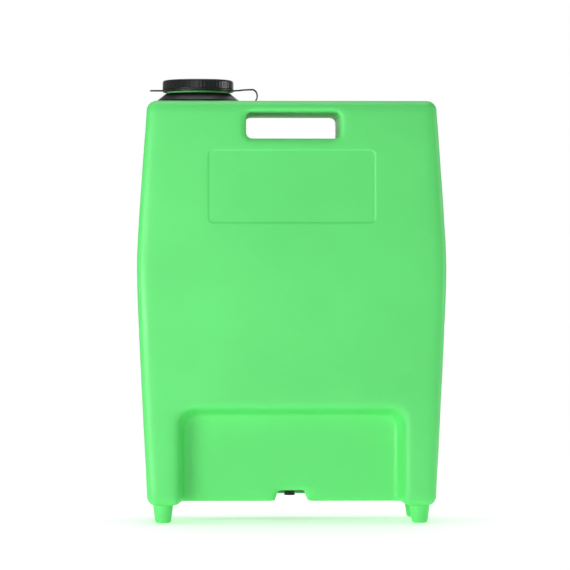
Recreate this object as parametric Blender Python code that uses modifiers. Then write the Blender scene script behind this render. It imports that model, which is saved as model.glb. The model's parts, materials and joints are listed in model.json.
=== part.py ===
"""Portable gravity-fed eyewash station, with its fold-down tray stowed.

World axes: +X to the right of the plain side, -Y out of the plain side, +Z up.
The origin is on the floor, under the middle of the tank.  Lengths are in metres.
"""
import math

import bmesh
import bpy
from mathutils import Vector

STATION = "eyewash_station"
GAP = 0.0003
PAST = 0.010
ARC_STEP = math.radians(22.5)

# Tank: overall shell
TANK_DEPTH = 0.175
TANK_TOP = 0.546
BASE_HALF = 0.1876
BELLY_BULGE = 0.0141
BELLY_HEIGHT = 0.335
SHOULDER_DRAFT = 0.0012
BELLY_ROUND = 1.27
EDGE_ROUND = 0.012
CORNER_EXTRA = 0.001
WALL = 0.004

# Tank: feet, underside and the groove under its middle
FOOT_HEIGHT = 0.0226
FOOT_TOP_R = 0.0125
FOOT_TIP_R = 0.0098
FOOT_FLAT_R = 0.0075
FOOT_CHAMFER = 0.0025
FOOT_INSET = 0.0214
FOOT_FROM_FACE = 0.0255
MIDDLE_LIFT = 0.0050
MIDDLE_HALF = 0.143
GROOVE_MOUTH_HALF = 0.0215
GROOVE_TOP_HALF = 0.0174
GROOVE_HEIGHT = 0.0138

# Tank: hand slot and label panels
SLOT_HALF = 0.0605
SLOT_OFFSET = 0.0015
SLOT_HEIGHT = 0.034
SLOT_BELOW_TOP = 0.015
SLOT_TOP_ROUND = 0.005
SLOT_FOOT_ROUND = 0.009
SLOT_FLARE = 0.005
PANEL_HALF = 0.108
PANEL_HEIGHT = 0.094
PANEL_BELOW_TOP = 0.064
PANEL_SINK = 0.0012
PANEL_ROUND = 0.006

# Tank: plain-side recess and tray bay
RECESS_RIB = 0.0401
RECESS_TOP = 0.1496
RECESS_DEPTH = 0.030
RECESS_DRAFT = 0.010
RECESS_ROUND = 0.019
BAY_RIB = 0.0376
BAY_TOP = 0.268
BAY_DEPTH = 0.070
BAY_ROUND = 0.016
SCOOP_HALF = 0.042
SCOOP_RISE = 0.034
SCOOP_DEPTH = 0.0175
SCOOP_ROUND = 0.012

# Filler neck and its screw thread
NECK_IN = 0.0666
NECK_R = 0.0405
NECK_WALL = 0.004
NECK_HEIGHT = 0.0247
THREAD_PITCH = 0.006
THREAD_BELOW_RIM = 0.0082
THREAD_BEAD_R = 0.0013
THREAD_STEPS = 20
THREAD_STAND_OFF = 0.0002

# Cap, its gasket and its vent
CAP_HEIGHT = 0.0157
CAP_TOP_WALL = 0.0032
CAP_THREAD_ROOM = 0.0027
CAP_SKIRT = 0.0016
CAP_LIP_OUT = 0.0012
CAP_LIP_HEIGHT = 0.0009
CAP_RIM_OUT = 0.0018
GASKET_THICK = 0.0017
CAP_EDGE = 0.003
CAP_BEAD_R = 0.0012
CAP_THREAD_LEAD = 0.375
VENT_STEM_R = 0.003
VENT_DISC_R = 0.008
VENT_DISC_THICK = 0.0008
VENT_CONE = 0.002

# Tether: collar under the cap, ring round it and strap between them
COLLAR_WALL = 0.0018
COLLAR_FLARE = 0.0135
COLLAR_BELOW_CAP = 0.0021
COLLAR_RIM = 0.003
RING_THICK = 0.0021
RING_WIDTH = 0.0025
TAB_OUT = 0.0154
TAB_HALF = 0.005
STRAP_OUT = 0.0235
STRAP_THICK = 0.0018
STRAP_HALF = 0.0045
STRAP_ARCH = 0.0016
STRAP_RUN = 0.012

# Tray and its hinge
HINGE_FROM_WALL = 0.0305
HINGE_HEIGHT = 0.048
TRAY_SIDE_ROOM = 0.003
TRAY_FACE_SINK = 0.004
TRAY_FOOT_ROOM = 0.0095
TRAY_TOP_ROOM = 0.003
TRAY_WALL = 0.003
TRAY_DRAFT = 0.0035
TRAY_HEEL = 0.0055
TRAY_ROUND = 0.018
TRAY_RIM_ROOM = 0.0005
EAR_WALL = 0.005
EAR_WIDTH = 0.006
EAR_WEB_BACK = 0.004
VALVE_WINDOW_ROOM = 0.004
VALVE_WINDOW_DEPTH = 0.018
SPOUT_HALF = 0.020
SPOUT_DEPTH = 0.010
PIN_R = 0.0031
PIN_HEAD_OUT = 0.0029
PIN_HEAD_WIDTH = 0.0036
PIN_SOCKET_DEPTH = 0.012
BUSH_WALL = 0.0026
BUSH_FLANGE_OUT = 0.0015
BUSH_FLANGE_WIDTH = 0.002

# Rotary valve on the hinge axis
PLUG_R = 0.009
PLUG_PAST_BARREL = 0.004
BARREL_WALL = 0.005
PLUG_BORE_R = 0.005
PORT_R = 0.0045
SEAL_CORD_R = 0.00075
SEAL_GROOVE_DEPTH = 0.0018
SEAL_GROOVE_HALF = 0.0013
SEAL_FROM_END = 0.008
KEEL_R = 0.007
KEEL_BELOW_BARREL = 0.004
INLET_HALF = 0.013
INLET_BELOW = 0.008

# Outlet fitting through the bay wall
LOCKNUT_CLEAR = 0.0016
SHANK_R = 0.009
STUB_R = 0.007
STUB_LENGTH = 0.009
FLANGE_OUT = 0.006
FLANGE_WIDTH = 0.0025
GASKET_WIDTH = 0.0015
LOCKNUT_OUT = 0.008
LOCKNUT_WIDTH = 0.007
SHANK_TAIL = 0.004
STUB_WALL = 0.002
STRAINER_WALL = 0.0016
STRAINER_CLEAR = 0.020
STRAINER_SLOT = 0.003

# Water way on the tray
NOZZLE_APART = 0.076
NOZZLE_ABOVE_HINGE = 0.115
NOZZLE_HEIGHT = 0.028
NOZZLE_STEM_R = 0.009
NOZZLE_BOWL_R = 0.013
NOZZLE_RIM_WALL = 0.0015
NOZZLE_BOWL_HEIGHT = 0.006
NOZZLE_FLARE_HEIGHT = 0.005
NOZZLE_EDGE = 0.0006
SCREEN_THICK = 0.0016
SCREEN_HOLE_R = 0.0012
SCREEN_RING_R = 0.0062
SCREEN_HOLES = 6
PIPE_R = 0.005
PIPE_WALL = 0.0015
PIPE_FROM_FLOOR = 0.0105
PIPE_SEAT = 0.008
ELBOW_BLOCK = 0.016
ELBOW_HALF = 0.010
ELBOW_PASSAGE_R = 0.003
SPIGOT_LENGTH = 0.008
SPIGOT_ROOT = 0.001
POST_BELOW = 0.0025
POST_ABOVE = 0.0165

# Nozzle dust covers
COVER_ROOM = 0.0005
COVER_TOP = 0.0022
COVER_SKIRT = 0.0062
COVER_WALL = 0.0015
COVER_EDGE = 0.0008
COVER_HINGE_OFF_BOWL = 0.005
COVER_HINGE_BACK = 0.0043
COVER_PIN_R = 0.0012
KNUCKLE_R = 0.0026
KNUCKLE_HALF = 0.0037
LUG_WIDTH = 0.003
LUG_CLEAR = 0.0002
LUG_SINK = 0.0026
COVER_PIN_TAIL = 0.0005

# Screws, rivets and the pull tab
SCREW_R = 0.002
SCREW_HEAD_R = 0.004
SCREW_HEAD = 0.0022
SCREW_GRIP = 0.0055
SCREW_POINT = 0.001
TAB_PULL_HALF = 0.030
TAB_PULL_LOW = 0.033
TAB_PULL_HIGH = 0.023
TAB_PULL_THICK = 0.0022
TAB_PULL_ROUND = 0.010
RIVET_R = 0.0022
RIVET_HEAD_R = 0.0045
RIVET_HEAD = 0.0011
RIVET_APART = 0.036
RIVET_BELOW_RIM = 0.022

# Places that follow from the sizes above
FACE_Y = TANK_DEPTH / 2
CORNER_ROUND = EDGE_ROUND + CORNER_EXTRA
NECK_X = -(BASE_HALF - NECK_IN)
NECK_BORE_R = NECK_R - NECK_WALL
THREAD_START = NECK_HEIGHT - THREAD_BELOW_RIM
CAP_BORE_R = NECK_R + CAP_THREAD_ROOM
CAP_GROOVE_R = CAP_BORE_R + CAP_SKIRT
CAP_LIP_R = CAP_GROOVE_R + CAP_LIP_OUT
CAP_R = CAP_GROOVE_R + CAP_RIM_OUT
CAP_BASE = NECK_HEIGHT + GASKET_THICK + 2 * GAP + CAP_TOP_WALL - CAP_HEIGHT
COLLAR_TOP_R = NECK_R + COLLAR_WALL
COLLAR_FOOT_R = NECK_R + COLLAR_FLARE
COLLAR_HEIGHT = CAP_BASE - COLLAR_BELOW_CAP
RING_R = CAP_GROOVE_R + GAP + RING_WIDTH
TAB_REACH = RING_R + TAB_OUT
STRAP_REACH = COLLAR_FOOT_R + STRAP_OUT
MIDDLE_BOTTOM = FOOT_HEIGHT + MIDDLE_LIFT
BAY_HALF = BASE_HALF - BAY_RIB
BAY_WALL_Y = FACE_Y - BAY_DEPTH
RECESS_WALL_Y = RECESS_DEPTH - FACE_Y
HINGE_Y = BAY_WALL_Y + HINGE_FROM_WALL
TRAY_HALF = BAY_HALF - TRAY_SIDE_ROOM
TRAY_FACE_Y = FACE_Y - TRAY_FACE_SINK
TRAY_RIM_Y = HINGE_Y + TRAY_RIM_ROOM
TRAY_HIGH = BAY_TOP - TRAY_TOP_ROOM
FLOOR_Y = TRAY_FACE_Y - TRAY_WALL
SEAT_Y = FLOOR_Y - GAP
OUTLET_BORE_R = STUB_R - STUB_WALL
FLANGE_R = SHANK_R + FLANGE_OUT
LOCKNUT_R = SHANK_R + LOCKNUT_OUT
OUTLET_HEIGHT = MIDDLE_BOTTOM + GROOVE_HEIGHT + WALL + LOCKNUT_R + LOCKNUT_CLEAR
BUSH_R = PIN_R + GAP + BUSH_WALL
BUSH_FLANGE_R = BUSH_R + BUSH_FLANGE_OUT
TRAY_LOW = HINGE_HEIGHT - BUSH_FLANGE_R - TRAY_FOOT_ROOM
PIN_HEAD_R = PIN_R + PIN_HEAD_OUT
EAR_R = BUSH_R + EAR_WALL
NOZZLE_X = NOZZLE_APART / 2
PLUG_HALF = NOZZLE_X - ELBOW_BLOCK / 2
BARREL_HALF = PLUG_HALF - PLUG_PAST_BARREL
BARREL_R = PLUG_R + BARREL_WALL
VALVE_WINDOW_HALF = BARREL_HALF + VALVE_WINDOW_ROOM
SEAL_AT = BARREL_HALF - SEAL_FROM_END
SEAL_GROOVE_R = PLUG_R - SEAL_GROOVE_DEPTH
KEEL_DROP = BARREL_R + KEEL_BELOW_BARREL
SPIGOT_R = PLUG_BORE_R - GAP
PIPE_BORE_R = PIPE_R - PIPE_WALL
COVER_HINGE_OUT = NOZZLE_BOWL_R + COVER_HINGE_OFF_BOWL
NOZZLE_Z = HINGE_HEIGHT + NOZZLE_ABOVE_HINGE
PIPE_Y = SEAT_Y - PIPE_FROM_FLOOR
SIDES = {"left": -1, "right": 1}

COLOURS = {
    "green": ((0.14, 0.78, 0.22, 1), 0.45, 0.0),
    "black": ((0.02, 0.02, 0.022, 1), 0.30, 0.0),
    "rubber": ((0.03, 0.03, 0.03, 1), 0.85, 0.0),
    "white": ((0.85, 0.86, 0.85, 1), 0.40, 0.0),
    "yellow": ((0.95, 0.72, 0.05, 1), 0.40, 0.0),
    "steel": ((0.62, 0.63, 0.65, 1), 0.30, 1.0),
}


# ---------------------------------------------------------------- scene and finish

def clear_scene():
    """Remove every object, so that only the station is left."""
    for leftover in list(bpy.data.objects):
        bpy.data.objects.remove(leftover)


def new_collection(name):
    """Collection of that name under the scene's own."""
    collection = bpy.data.collections.new(name)
    bpy.context.scene.collection.children.link(collection)
    return collection


def finish(name, kind):
    """Material for one piece, from the colour, roughness and metallic value of its kind."""
    colour, roughness, metallic = COLOURS[kind]
    material = bpy.data.materials.new(name)
    material.use_nodes = True
    shader = material.node_tree.nodes["Principled BSDF"]
    shader.inputs["Base Color"].default_value = colour
    shader.inputs["Roughness"].default_value = roughness
    shader.inputs["Metallic"].default_value = metallic
    return material


def show(piece, kind):
    """Put a piece in the station's collection with its own material."""
    bpy.data.collections[STATION].objects.link(piece)
    piece.data.materials.clear()
    piece.data.materials.append(finish(piece.name, kind))
    return piece


def tool(piece):
    """Keep a cutter or an added shape out of sight."""
    bpy.data.collections["cutters"].objects.link(piece)
    piece.hide_render = True
    piece.display_type = "WIRE"
    return piece


# ---------------------------------------------------------------- outlines in a flat plane

def rounded(corners):
    """Closed outline through (x, z, radius) corners, with an arc tangent to both sides at each."""
    outline = []
    for index, (x, z, radius) in enumerate(corners):
        corner = Vector((x, z))
        back = (Vector(corners[index - 1][:2]) - corner).normalized()
        onward = (Vector(corners[(index + 1) % len(corners)][:2]) - corner).normalized()
        opening = back.angle(onward)
        turn = math.pi - opening
        centre = corner + (back + onward).normalized() * radius / math.sin(opening / 2)
        spoke = corner + back * radius / math.tan(opening / 2) - centre
        if back.x * onward.y - back.y * onward.x > 0:
            turn = -turn
        steps = max(2, round(abs(turn) / ARC_STEP))
        for step in range(steps + 1):
            angle = turn * step / steps
            cosine = math.cos(angle)
            sine = math.sin(angle)
            outline.append(centre + Vector((spoke.x * cosine - spoke.y * sine,
                                            spoke.x * sine + spoke.y * cosine)))
    return outline


def grown(outline, distance):
    """The same outline moved out by a distance (in, when negative), with mitred corners."""
    moved = []
    for index, point in enumerate(outline):
        before = (point - outline[index - 1]).normalized()
        after = (outline[(index + 1) % len(outline)] - point).normalized()
        out_before = Vector((before.y, -before.x))
        out_after = Vector((after.y, -after.x))
        mitre = (out_before + out_after).normalized()
        moved.append(point + mitre * distance / mitre.dot(out_after))
    return moved


def mirrored(half):
    """Corners on the right, followed by their mirror images on the left."""
    return half + [(-x, z, radius) for x, z, radius in reversed(half)]


def rectangle(half_width, low, high, radius):
    """Corners of an upright rectangle about the middle plane."""
    return mirrored([(half_width, low, radius), (half_width, high, radius)])


# ---------------------------------------------------------------- solids

def mesh_object(name, shape):
    """Object of that name from a finished bmesh."""
    mesh = bpy.data.meshes.new(name)
    shape.to_mesh(mesh)
    shape.free()
    mesh.shade_smooth()
    mesh.set_sharp_from_angle(angle=math.radians(35))
    return bpy.data.objects.new(name, mesh)


def curve_as_mesh(curve_object):
    """Mesh object with the evaluated shape of a curve, its caps welded, in the curve's place."""
    bpy.context.scene.collection.objects.link(curve_object)
    bpy.context.view_layer.update()
    name = curve_object.name
    evaluated = curve_object.evaluated_get(bpy.context.evaluated_depsgraph_get())
    mesh = bpy.data.meshes.new_from_object(evaluated)
    shape = bmesh.new()
    shape.from_mesh(mesh)
    bmesh.ops.remove_doubles(shape, verts=shape.verts, dist=0.000002)
    shape.to_mesh(mesh)
    shape.free()
    place = curve_object.matrix_world.copy()
    bpy.data.objects.remove(curve_object)
    solid = bpy.data.objects.new(name, mesh)
    solid.matrix_world = place
    return solid


def slab(name, outline, low_y, high_y, edge_round=0.0):
    """Outline in X and Z given a thickness along Y, with rounded edges."""
    curve = bpy.data.curves.new(name, "CURVE")
    curve.dimensions = "2D"
    curve.fill_mode = "BOTH"
    curve.extrude = (high_y - low_y) / 2 - edge_round
    curve.bevel_depth = edge_round
    curve.bevel_resolution = 2
    curve.offset = -edge_round
    spline = curve.splines.new("POLY")
    spline.points.add(len(outline) - 1)
    for point, (x, z) in zip(spline.points, outline):
        point.co = (x, z, 0, 1)
    spline.use_cyclic_u = True
    curve_object = bpy.data.objects.new(name, curve)
    curve_object.rotation_euler = (math.radians(90), 0, 0)
    curve_object.location = (0, (low_y + high_y) / 2, 0)
    return curve_as_mesh(curve_object)


def loft(name, sections):
    """Solid through outlines in X and Z, given as (outline, y) from low y to high y."""
    shape = bmesh.new()
    rings = []
    for outline, y in sections:
        rings.append([shape.verts.new((x, y, z)) for x, z in outline])
    for near, far in zip(rings, rings[1:]):
        for index in range(len(near)):
            follow = (index + 1) % len(near)
            shape.faces.new((near[index], near[follow], far[follow], far[index]))
    shape.faces.new(reversed(rings[-1]))
    shape.faces.new(rings[0])
    bmesh.ops.recalc_face_normals(shape, faces=shape.faces)
    return mesh_object(name, shape)


def block(name, corner, opposite):
    """Box between two opposite corners."""
    shape = bmesh.new()
    bmesh.ops.create_cube(shape, size=1)
    span = Vector(opposite) - Vector(corner)
    size = Vector((abs(span.x), abs(span.y), abs(span.z)))
    middle = (Vector(opposite) + Vector(corner)) / 2
    bmesh.ops.scale(shape, vec=size, verts=shape.verts)
    bmesh.ops.translate(shape, vec=middle, verts=shape.verts)
    return mesh_object(name, shape)


def rod(name, start, end, radius, steps=20):
    """Cylinder between two points."""
    start = Vector(start)
    end = Vector(end)
    shape = bmesh.new()
    bmesh.ops.create_cone(shape, cap_ends=True, segments=steps, radius1=radius,
                          radius2=radius, depth=(end - start).length)
    solid = mesh_object(name, shape)
    solid.rotation_mode = "QUATERNION"
    solid.rotation_quaternion = (end - start).to_track_quat("Z", "Y")
    solid.location = (start + end) / 2
    return solid


def turned(name, profile, base, direction=(0, 0, 1), steps=24, ring=False):
    """Profile of (radius, height) turned about an axis through base; it runs down its outer side."""
    mesh = bpy.data.meshes.new(name)
    count = len(profile)
    edges = [(index, index + 1) for index in range(count - 1)]
    if ring:
        edges.append((count - 1, 0))
    mesh.from_pydata([(radius, 0, height) for radius, height in profile], edges, [])
    solid = bpy.data.objects.new(name, mesh)
    screw = solid.modifiers.new("turn", "SCREW")
    screw.angle = math.tau
    screw.steps = steps
    screw.render_steps = steps
    screw.use_merge_vertices = True
    screw.merge_threshold = 0.00001
    solid.rotation_mode = "QUATERNION"
    solid.rotation_quaternion = Vector(direction).to_track_quat("Z", "Y")
    solid.location = base
    return solid


def thread_bead(name, centre, radius, start_height, start_angle, bead_radius):
    """One turn of round bead along a right-hand helix."""
    curve = bpy.data.curves.new(name, "CURVE")
    curve.dimensions = "3D"
    curve.bevel_depth = bead_radius
    curve.bevel_resolution = 1
    curve.use_fill_caps = True
    spline = curve.splines.new("POLY")
    spline.points.add(THREAD_STEPS)
    for step, point in enumerate(spline.points):
        share = step / THREAD_STEPS
        angle = start_angle + math.tau * share
        x = centre[0] + radius * math.cos(angle)
        y = centre[1] + radius * math.sin(angle)
        point.co = (x, y, start_height + THREAD_PITCH * share, 1)
    return curve_as_mesh(bpy.data.objects.new(name, curve))


def combine(piece, other, operation):
    """Boolean of a piece with another closed shape."""
    step = piece.modifiers.new(other.name, "BOOLEAN")
    step.operation = operation
    step.solver = "EXACT"
    step.object = tool(other)


def cut(piece, *cutters):
    """Take shapes away from a piece."""
    for cutter in cutters:
        combine(piece, cutter, "DIFFERENCE")


def add(piece, *shapes):
    """Join shapes to a piece."""
    for shape in shapes:
        combine(piece, shape, "UNION")


# ---------------------------------------------------------------- tank

def tank_outline():
    """Front view of the tank without feet: straight flanks that meet in a soft belly."""
    return rounded(mirrored([
        (BASE_HALF, FOOT_HEIGHT, CORNER_ROUND),
        (BASE_HALF + BELLY_BULGE, BELLY_HEIGHT, BELLY_ROUND),
        (BASE_HALF - SHOULDER_DRAFT, TANK_TOP, CORNER_ROUND),
    ]))


def slot_outline():
    """Clear opening of the hand slot, a little to the right of the middle."""
    high = TANK_TOP - SLOT_BELOW_TOP
    low = high - SLOT_HEIGHT
    outline = rounded(mirrored([(SLOT_HALF, low, SLOT_FOOT_ROUND), (SLOT_HALF, high, SLOT_TOP_ROUND)]))
    return [Vector((x + SLOT_OFFSET, z)) for x, z in outline]


def underside_cutter(name, wall):
    """Room under the raised middle and the groove across it, grown by a wall."""
    half = [
        (MIDDLE_HALF + MIDDLE_LIFT, FOOT_HEIGHT - PAST),
        (MIDDLE_HALF + MIDDLE_LIFT, FOOT_HEIGHT),
        (MIDDLE_HALF, MIDDLE_BOTTOM),
        (GROOVE_MOUTH_HALF, MIDDLE_BOTTOM),
        (GROOVE_TOP_HALF, MIDDLE_BOTTOM + GROOVE_HEIGHT),
    ]
    outline = [Vector(point) for point in half] + [Vector((-x, z)) for x, z in reversed(half)]
    return slab(name, grown(outline, wall), -FACE_Y - PAST, FACE_Y + PAST)


def recess_cutter(name, wall):
    """Drafted recess low on the plain side, open below, grown by a wall."""
    half = BASE_HALF - RECESS_RIB
    mouth = rounded(rectangle(half, FOOT_HEIGHT - PAST, RECESS_TOP, RECESS_ROUND))
    slope = RECESS_DRAFT / RECESS_DEPTH
    lead = grown(mouth, wall + slope * PAST)
    floor = grown(mouth, wall - RECESS_DRAFT)
    return loft(name, [(floor_to_foot(lead), -FACE_Y - PAST),
                       (floor_to_foot(floor), RECESS_WALL_Y + wall)])


def floor_to_foot(outline):
    """Outline whose lower half is drawn straight down past the tank's underside."""
    low = FOOT_HEIGHT - 2 * PAST
    middle = RECESS_TOP / 2
    return [Vector((x, low if z < middle else z)) for x, z in outline]


def bay_cutter(name, wall):
    """Bay that holds the tray, open in front and below, grown by a wall."""
    mouth = rounded(rectangle(BAY_HALF, FOOT_HEIGHT - 2 * PAST, BAY_TOP, BAY_ROUND))
    return slab(name, grown(mouth, wall), BAY_WALL_Y - wall, FACE_Y + PAST)


def scoop_cutter(name, wall):
    """Finger scoop over the tray's pull tab, grown by a wall."""
    outline = rounded(rectangle(SCOOP_HALF, BAY_TOP - PAST, BAY_TOP + SCOOP_RISE, SCOOP_ROUND))
    return slab(name, grown(outline, wall), FACE_Y - SCOOP_DEPTH - wall, FACE_Y + PAST)


def slot_cutter(name, wall):
    """Hand slot through the tank with a flared rim at both faces, grown by a wall."""
    sections = []
    for widening, depth in ((0, SLOT_FLARE), (SLOT_FLARE * 0.3, SLOT_FLARE * 0.3), (SLOT_FLARE, 0),
                            (SLOT_FLARE + PAST / 2, -PAST / 2)):
        outline = grown(slot_outline(), wall + widening)
        sections.append((outline, FACE_Y - depth))
        sections.insert(0, (outline, depth - FACE_Y))
    return loft(name, sections)


def hinge_socket(name, side, wall):
    """Blind socket for a hinge pin in the bay's side wall, grown by a wall."""
    start = (side * (BAY_HALF - PAST), HINGE_Y, HINGE_HEIGHT)
    end = (side * (BAY_HALF + PIN_SOCKET_DEPTH + wall), HINGE_Y, HINGE_HEIGHT)
    return rod(name, start, end, PIN_R + GAP + wall, steps=16)


def panel_cutter(name, face):
    """Shallow label panel on one face."""
    high = TANK_TOP - PANEL_BELOW_TOP
    outline = rounded(rectangle(PANEL_HALF, high - PANEL_HEIGHT, high, PANEL_ROUND))
    inner = FACE_Y - PANEL_SINK
    outer = FACE_Y + PAST
    if face < 0:
        return slab(name, outline, -outer, -inner)
    return slab(name, outline, inner, outer)


def hollow():
    """Water space: the shell moved in by the wall, less every recess grown by the wall."""
    space = slab("cavity", grown(tank_outline(), -WALL), WALL - FACE_Y, FACE_Y - WALL, EDGE_ROUND - WALL)
    cut(space, underside_cutter("cavity_underside", WALL), recess_cutter("cavity_recess", WALL),
        bay_cutter("cavity_bay", WALL), scoop_cutter("cavity_scoop", WALL), slot_cutter("cavity_slot", WALL))
    for name, side in SIDES.items():
        cut(space, hinge_socket("cavity_socket_" + name, side, WALL))
    return space


def foot(name, side, end):
    """Tapered peg foot with a small flat tip."""
    root = FOOT_HEIGHT + WALL / 2
    profile = [(0, root), (FOOT_TOP_R, root), (FOOT_TIP_R, FOOT_CHAMFER), (FOOT_FLAT_R, 0), (0, 0)]
    place = (side * (BASE_HALF - FOOT_INSET), end * (FACE_Y - FOOT_FROM_FACE), 0)
    return turned(name, profile, place, steps=16)


def make_tank():
    """Hollow tank with feet, neck, hand slot, recesses, bay and outlet hole."""
    tank = slab("tank", tank_outline(), -FACE_Y, FACE_Y, EDGE_ROUND)
    cut(tank, underside_cutter("underside", 0), recess_cutter("recess", 0), bay_cutter("bay", 0),
        scoop_cutter("scoop", 0), slot_cutter("slot", 0), panel_cutter("panel_plain", -1),
        panel_cutter("panel_tray", 1))
    for name, side in SIDES.items():
        cut(tank, hinge_socket("socket_" + name, side, 0))
        add(tank, foot("foot_plain_" + name, side, -1), foot("foot_tray_" + name, side, 1))
    neck_top = TANK_TOP + NECK_HEIGHT
    add(tank, rod("neck", (NECK_X, 0, TANK_TOP - WALL / 2), (NECK_X, 0, neck_top), NECK_R, steps=48))
    add(tank, thread_bead("neck_thread", (NECK_X, 0), NECK_R + THREAD_STAND_OFF,
                          TANK_TOP + THREAD_START, 0, THREAD_BEAD_R))
    cut(tank, hollow())
    cut(tank, rod("bore", (NECK_X, 0, TANK_TOP - WALL - PAST), (NECK_X, 0, neck_top + PAST),
                  NECK_BORE_R, steps=48))
    cut(tank, rod("outlet_hole", (0, BAY_WALL_Y - WALL - PAST, OUTLET_HEIGHT),
                  (0, BAY_WALL_Y + PAST, OUTLET_HEIGHT), SHANK_R + 2 * GAP, steps=24))
    return show(tank, "green")


# ---------------------------------------------------------------- cap and tether

def make_cap():
    """Screw cap with a groove for the tether ring, a thread bead inside and a vent hole."""
    top = CAP_HEIGHT
    groove_top = CAP_LIP_HEIGHT + RING_THICK + 2 * GAP
    profile = [(0, top), (CAP_R - CAP_EDGE, top), (CAP_R - CAP_EDGE * 0.3, top - CAP_EDGE * 0.3),
               (CAP_R, top - CAP_EDGE), (CAP_R, groove_top), (CAP_GROOVE_R, groove_top),
               (CAP_GROOVE_R, CAP_LIP_HEIGHT), (CAP_LIP_R, CAP_LIP_HEIGHT), (CAP_LIP_R, 0),
               (CAP_BORE_R, 0), (CAP_BORE_R, top - CAP_TOP_WALL), (0, top - CAP_TOP_WALL)]
    cap = turned("cap", profile, (NECK_X, 0, TANK_TOP + CAP_BASE), steps=48)
    base = TANK_TOP + CAP_BASE
    start = TANK_TOP + THREAD_START + THREAD_PITCH * (CAP_THREAD_LEAD - 0.5)
    add(cap, thread_bead("cap_thread", (NECK_X, 0), CAP_BORE_R - THREAD_STAND_OFF, start,
                         math.tau * CAP_THREAD_LEAD, CAP_BEAD_R))
    cut(cap, rod("vent_hole", (NECK_X, 0, base), (NECK_X, 0, base + top + PAST),
                 VENT_STEM_R + GAP, steps=16))
    return show(cap, "black")


def make_cap_gasket():
    """Flat washer between the neck's rim and the cap."""
    low = TANK_TOP + NECK_HEIGHT + GAP
    inner = NECK_BORE_R
    outer = CAP_BORE_R - 2 * GAP
    profile = [(outer, GASKET_THICK), (outer, 0), (inner, 0), (inner, GASKET_THICK)]
    return show(turned("cap_gasket", profile, (NECK_X, 0, low), steps=40, ring=True), "rubber")


def make_cap_vent():
    """Mushroom valve that lets air in through the cap as the tank drains."""
    underside = TANK_TOP + CAP_BASE + CAP_HEIGHT - CAP_TOP_WALL
    stem = CAP_TOP_WALL
    disc = -GAP
    profile = [(0, stem), (VENT_STEM_R, stem), (VENT_STEM_R, disc), (VENT_DISC_R, disc),
               (VENT_DISC_R, disc - VENT_DISC_THICK), (VENT_STEM_R, disc - VENT_CONE),
               (0, disc - VENT_CONE)]
    return show(turned("cap_vent", profile, (NECK_X, 0, underside), steps=16), "rubber")


def make_tether_collar():
    """Conical collar that clips round the foot of the neck and holds the strap."""
    inner = NECK_R + 2 * GAP
    profile = [(COLLAR_TOP_R, COLLAR_HEIGHT), (COLLAR_FOOT_R, COLLAR_RIM), (COLLAR_FOOT_R, 0),
               (inner, 0), (inner, COLLAR_HEIGHT)]
    place = (NECK_X, 0, TANK_TOP + GAP)
    return show(turned("tether_collar", profile, place, steps=40, ring=True), "black")


def ring_base():
    """Height of the tether ring's underside."""
    return TANK_TOP + CAP_BASE + CAP_LIP_HEIGHT + GAP


def make_tether_ring():
    """Ring that the cap turns in, with a finger tab."""
    inner = CAP_GROOVE_R + GAP
    outer = RING_R
    profile = [(outer, RING_THICK), (outer, 0), (inner, 0), (inner, RING_THICK)]
    ring = turned("tether_ring", profile, (NECK_X, 0, ring_base()), steps=40, ring=True)
    inset = RING_THICK * 0.1
    add(ring, block("ring_tab", (NECK_X - TAB_REACH, -TAB_HALF, ring_base() + inset),
                    (NECK_X - outer + RING_WIDTH / 2, TAB_HALF, ring_base() + RING_THICK - inset)))
    return show(ring, "black")


def make_tether_strap():
    """Flat strap from the ring, out, down and back along the tank's top to the collar."""
    ring_edge = NECK_X + RING_R + GAP
    collar_edge = NECK_X + COLLAR_FOOT_R + GAP
    reach = NECK_X + STRAP_REACH
    high = ring_base() + RING_THICK / 2 + STRAP_ARCH
    low = TANK_TOP + 2 * GAP + STRAP_THICK / 2
    bend = (high - low) / 2
    line = [Vector((ring_edge, high - STRAP_ARCH)),
            Vector((ring_edge + STRAP_RUN, high - STRAP_ARCH * 0.3))]
    for step in range(9):
        angle = math.pi / 2 - math.pi * step / 8
        out = bend * 0.8 * (math.cos(angle) - 1)
        line.append(Vector((reach + out, low + bend + bend * math.sin(angle))))
    line.append(Vector((collar_edge, low)))
    sides = ([], [])
    for index, point in enumerate(line):
        along = (line[min(index + 1, len(line) - 1)] - line[max(index - 1, 0)]).normalized()
        across = Vector((-along.y, along.x)) * STRAP_THICK / 2
        sides[0].append(point - across)
        sides[1].append(point + across)
    return show(slab("tether_strap", sides[0] + sides[1][::-1], -STRAP_HALF, STRAP_HALF), "black")


# ---------------------------------------------------------------- tray and hinge

def tray_section(inset):
    """Outline of the tray moved in by a distance."""
    corners = rectangle(TRAY_HALF, TRAY_LOW, TRAY_HIGH, TRAY_ROUND)
    return grown(rounded(corners), -inset)


def tray_shell(name, wall, rim):
    """Drafted tray form moved in by a wall on every side, open towards the tank at its rim."""
    front = TRAY_FACE_Y - wall
    return loft(name, [(tray_section(wall), rim), (tray_section(wall + TRAY_DRAFT), front - TRAY_HEEL),
                       (tray_section(wall + TRAY_DRAFT + 0.3 * TRAY_HEEL), front - 0.3 * TRAY_HEEL),
                       (tray_section(wall + TRAY_DRAFT + TRAY_HEEL), front)])


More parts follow.
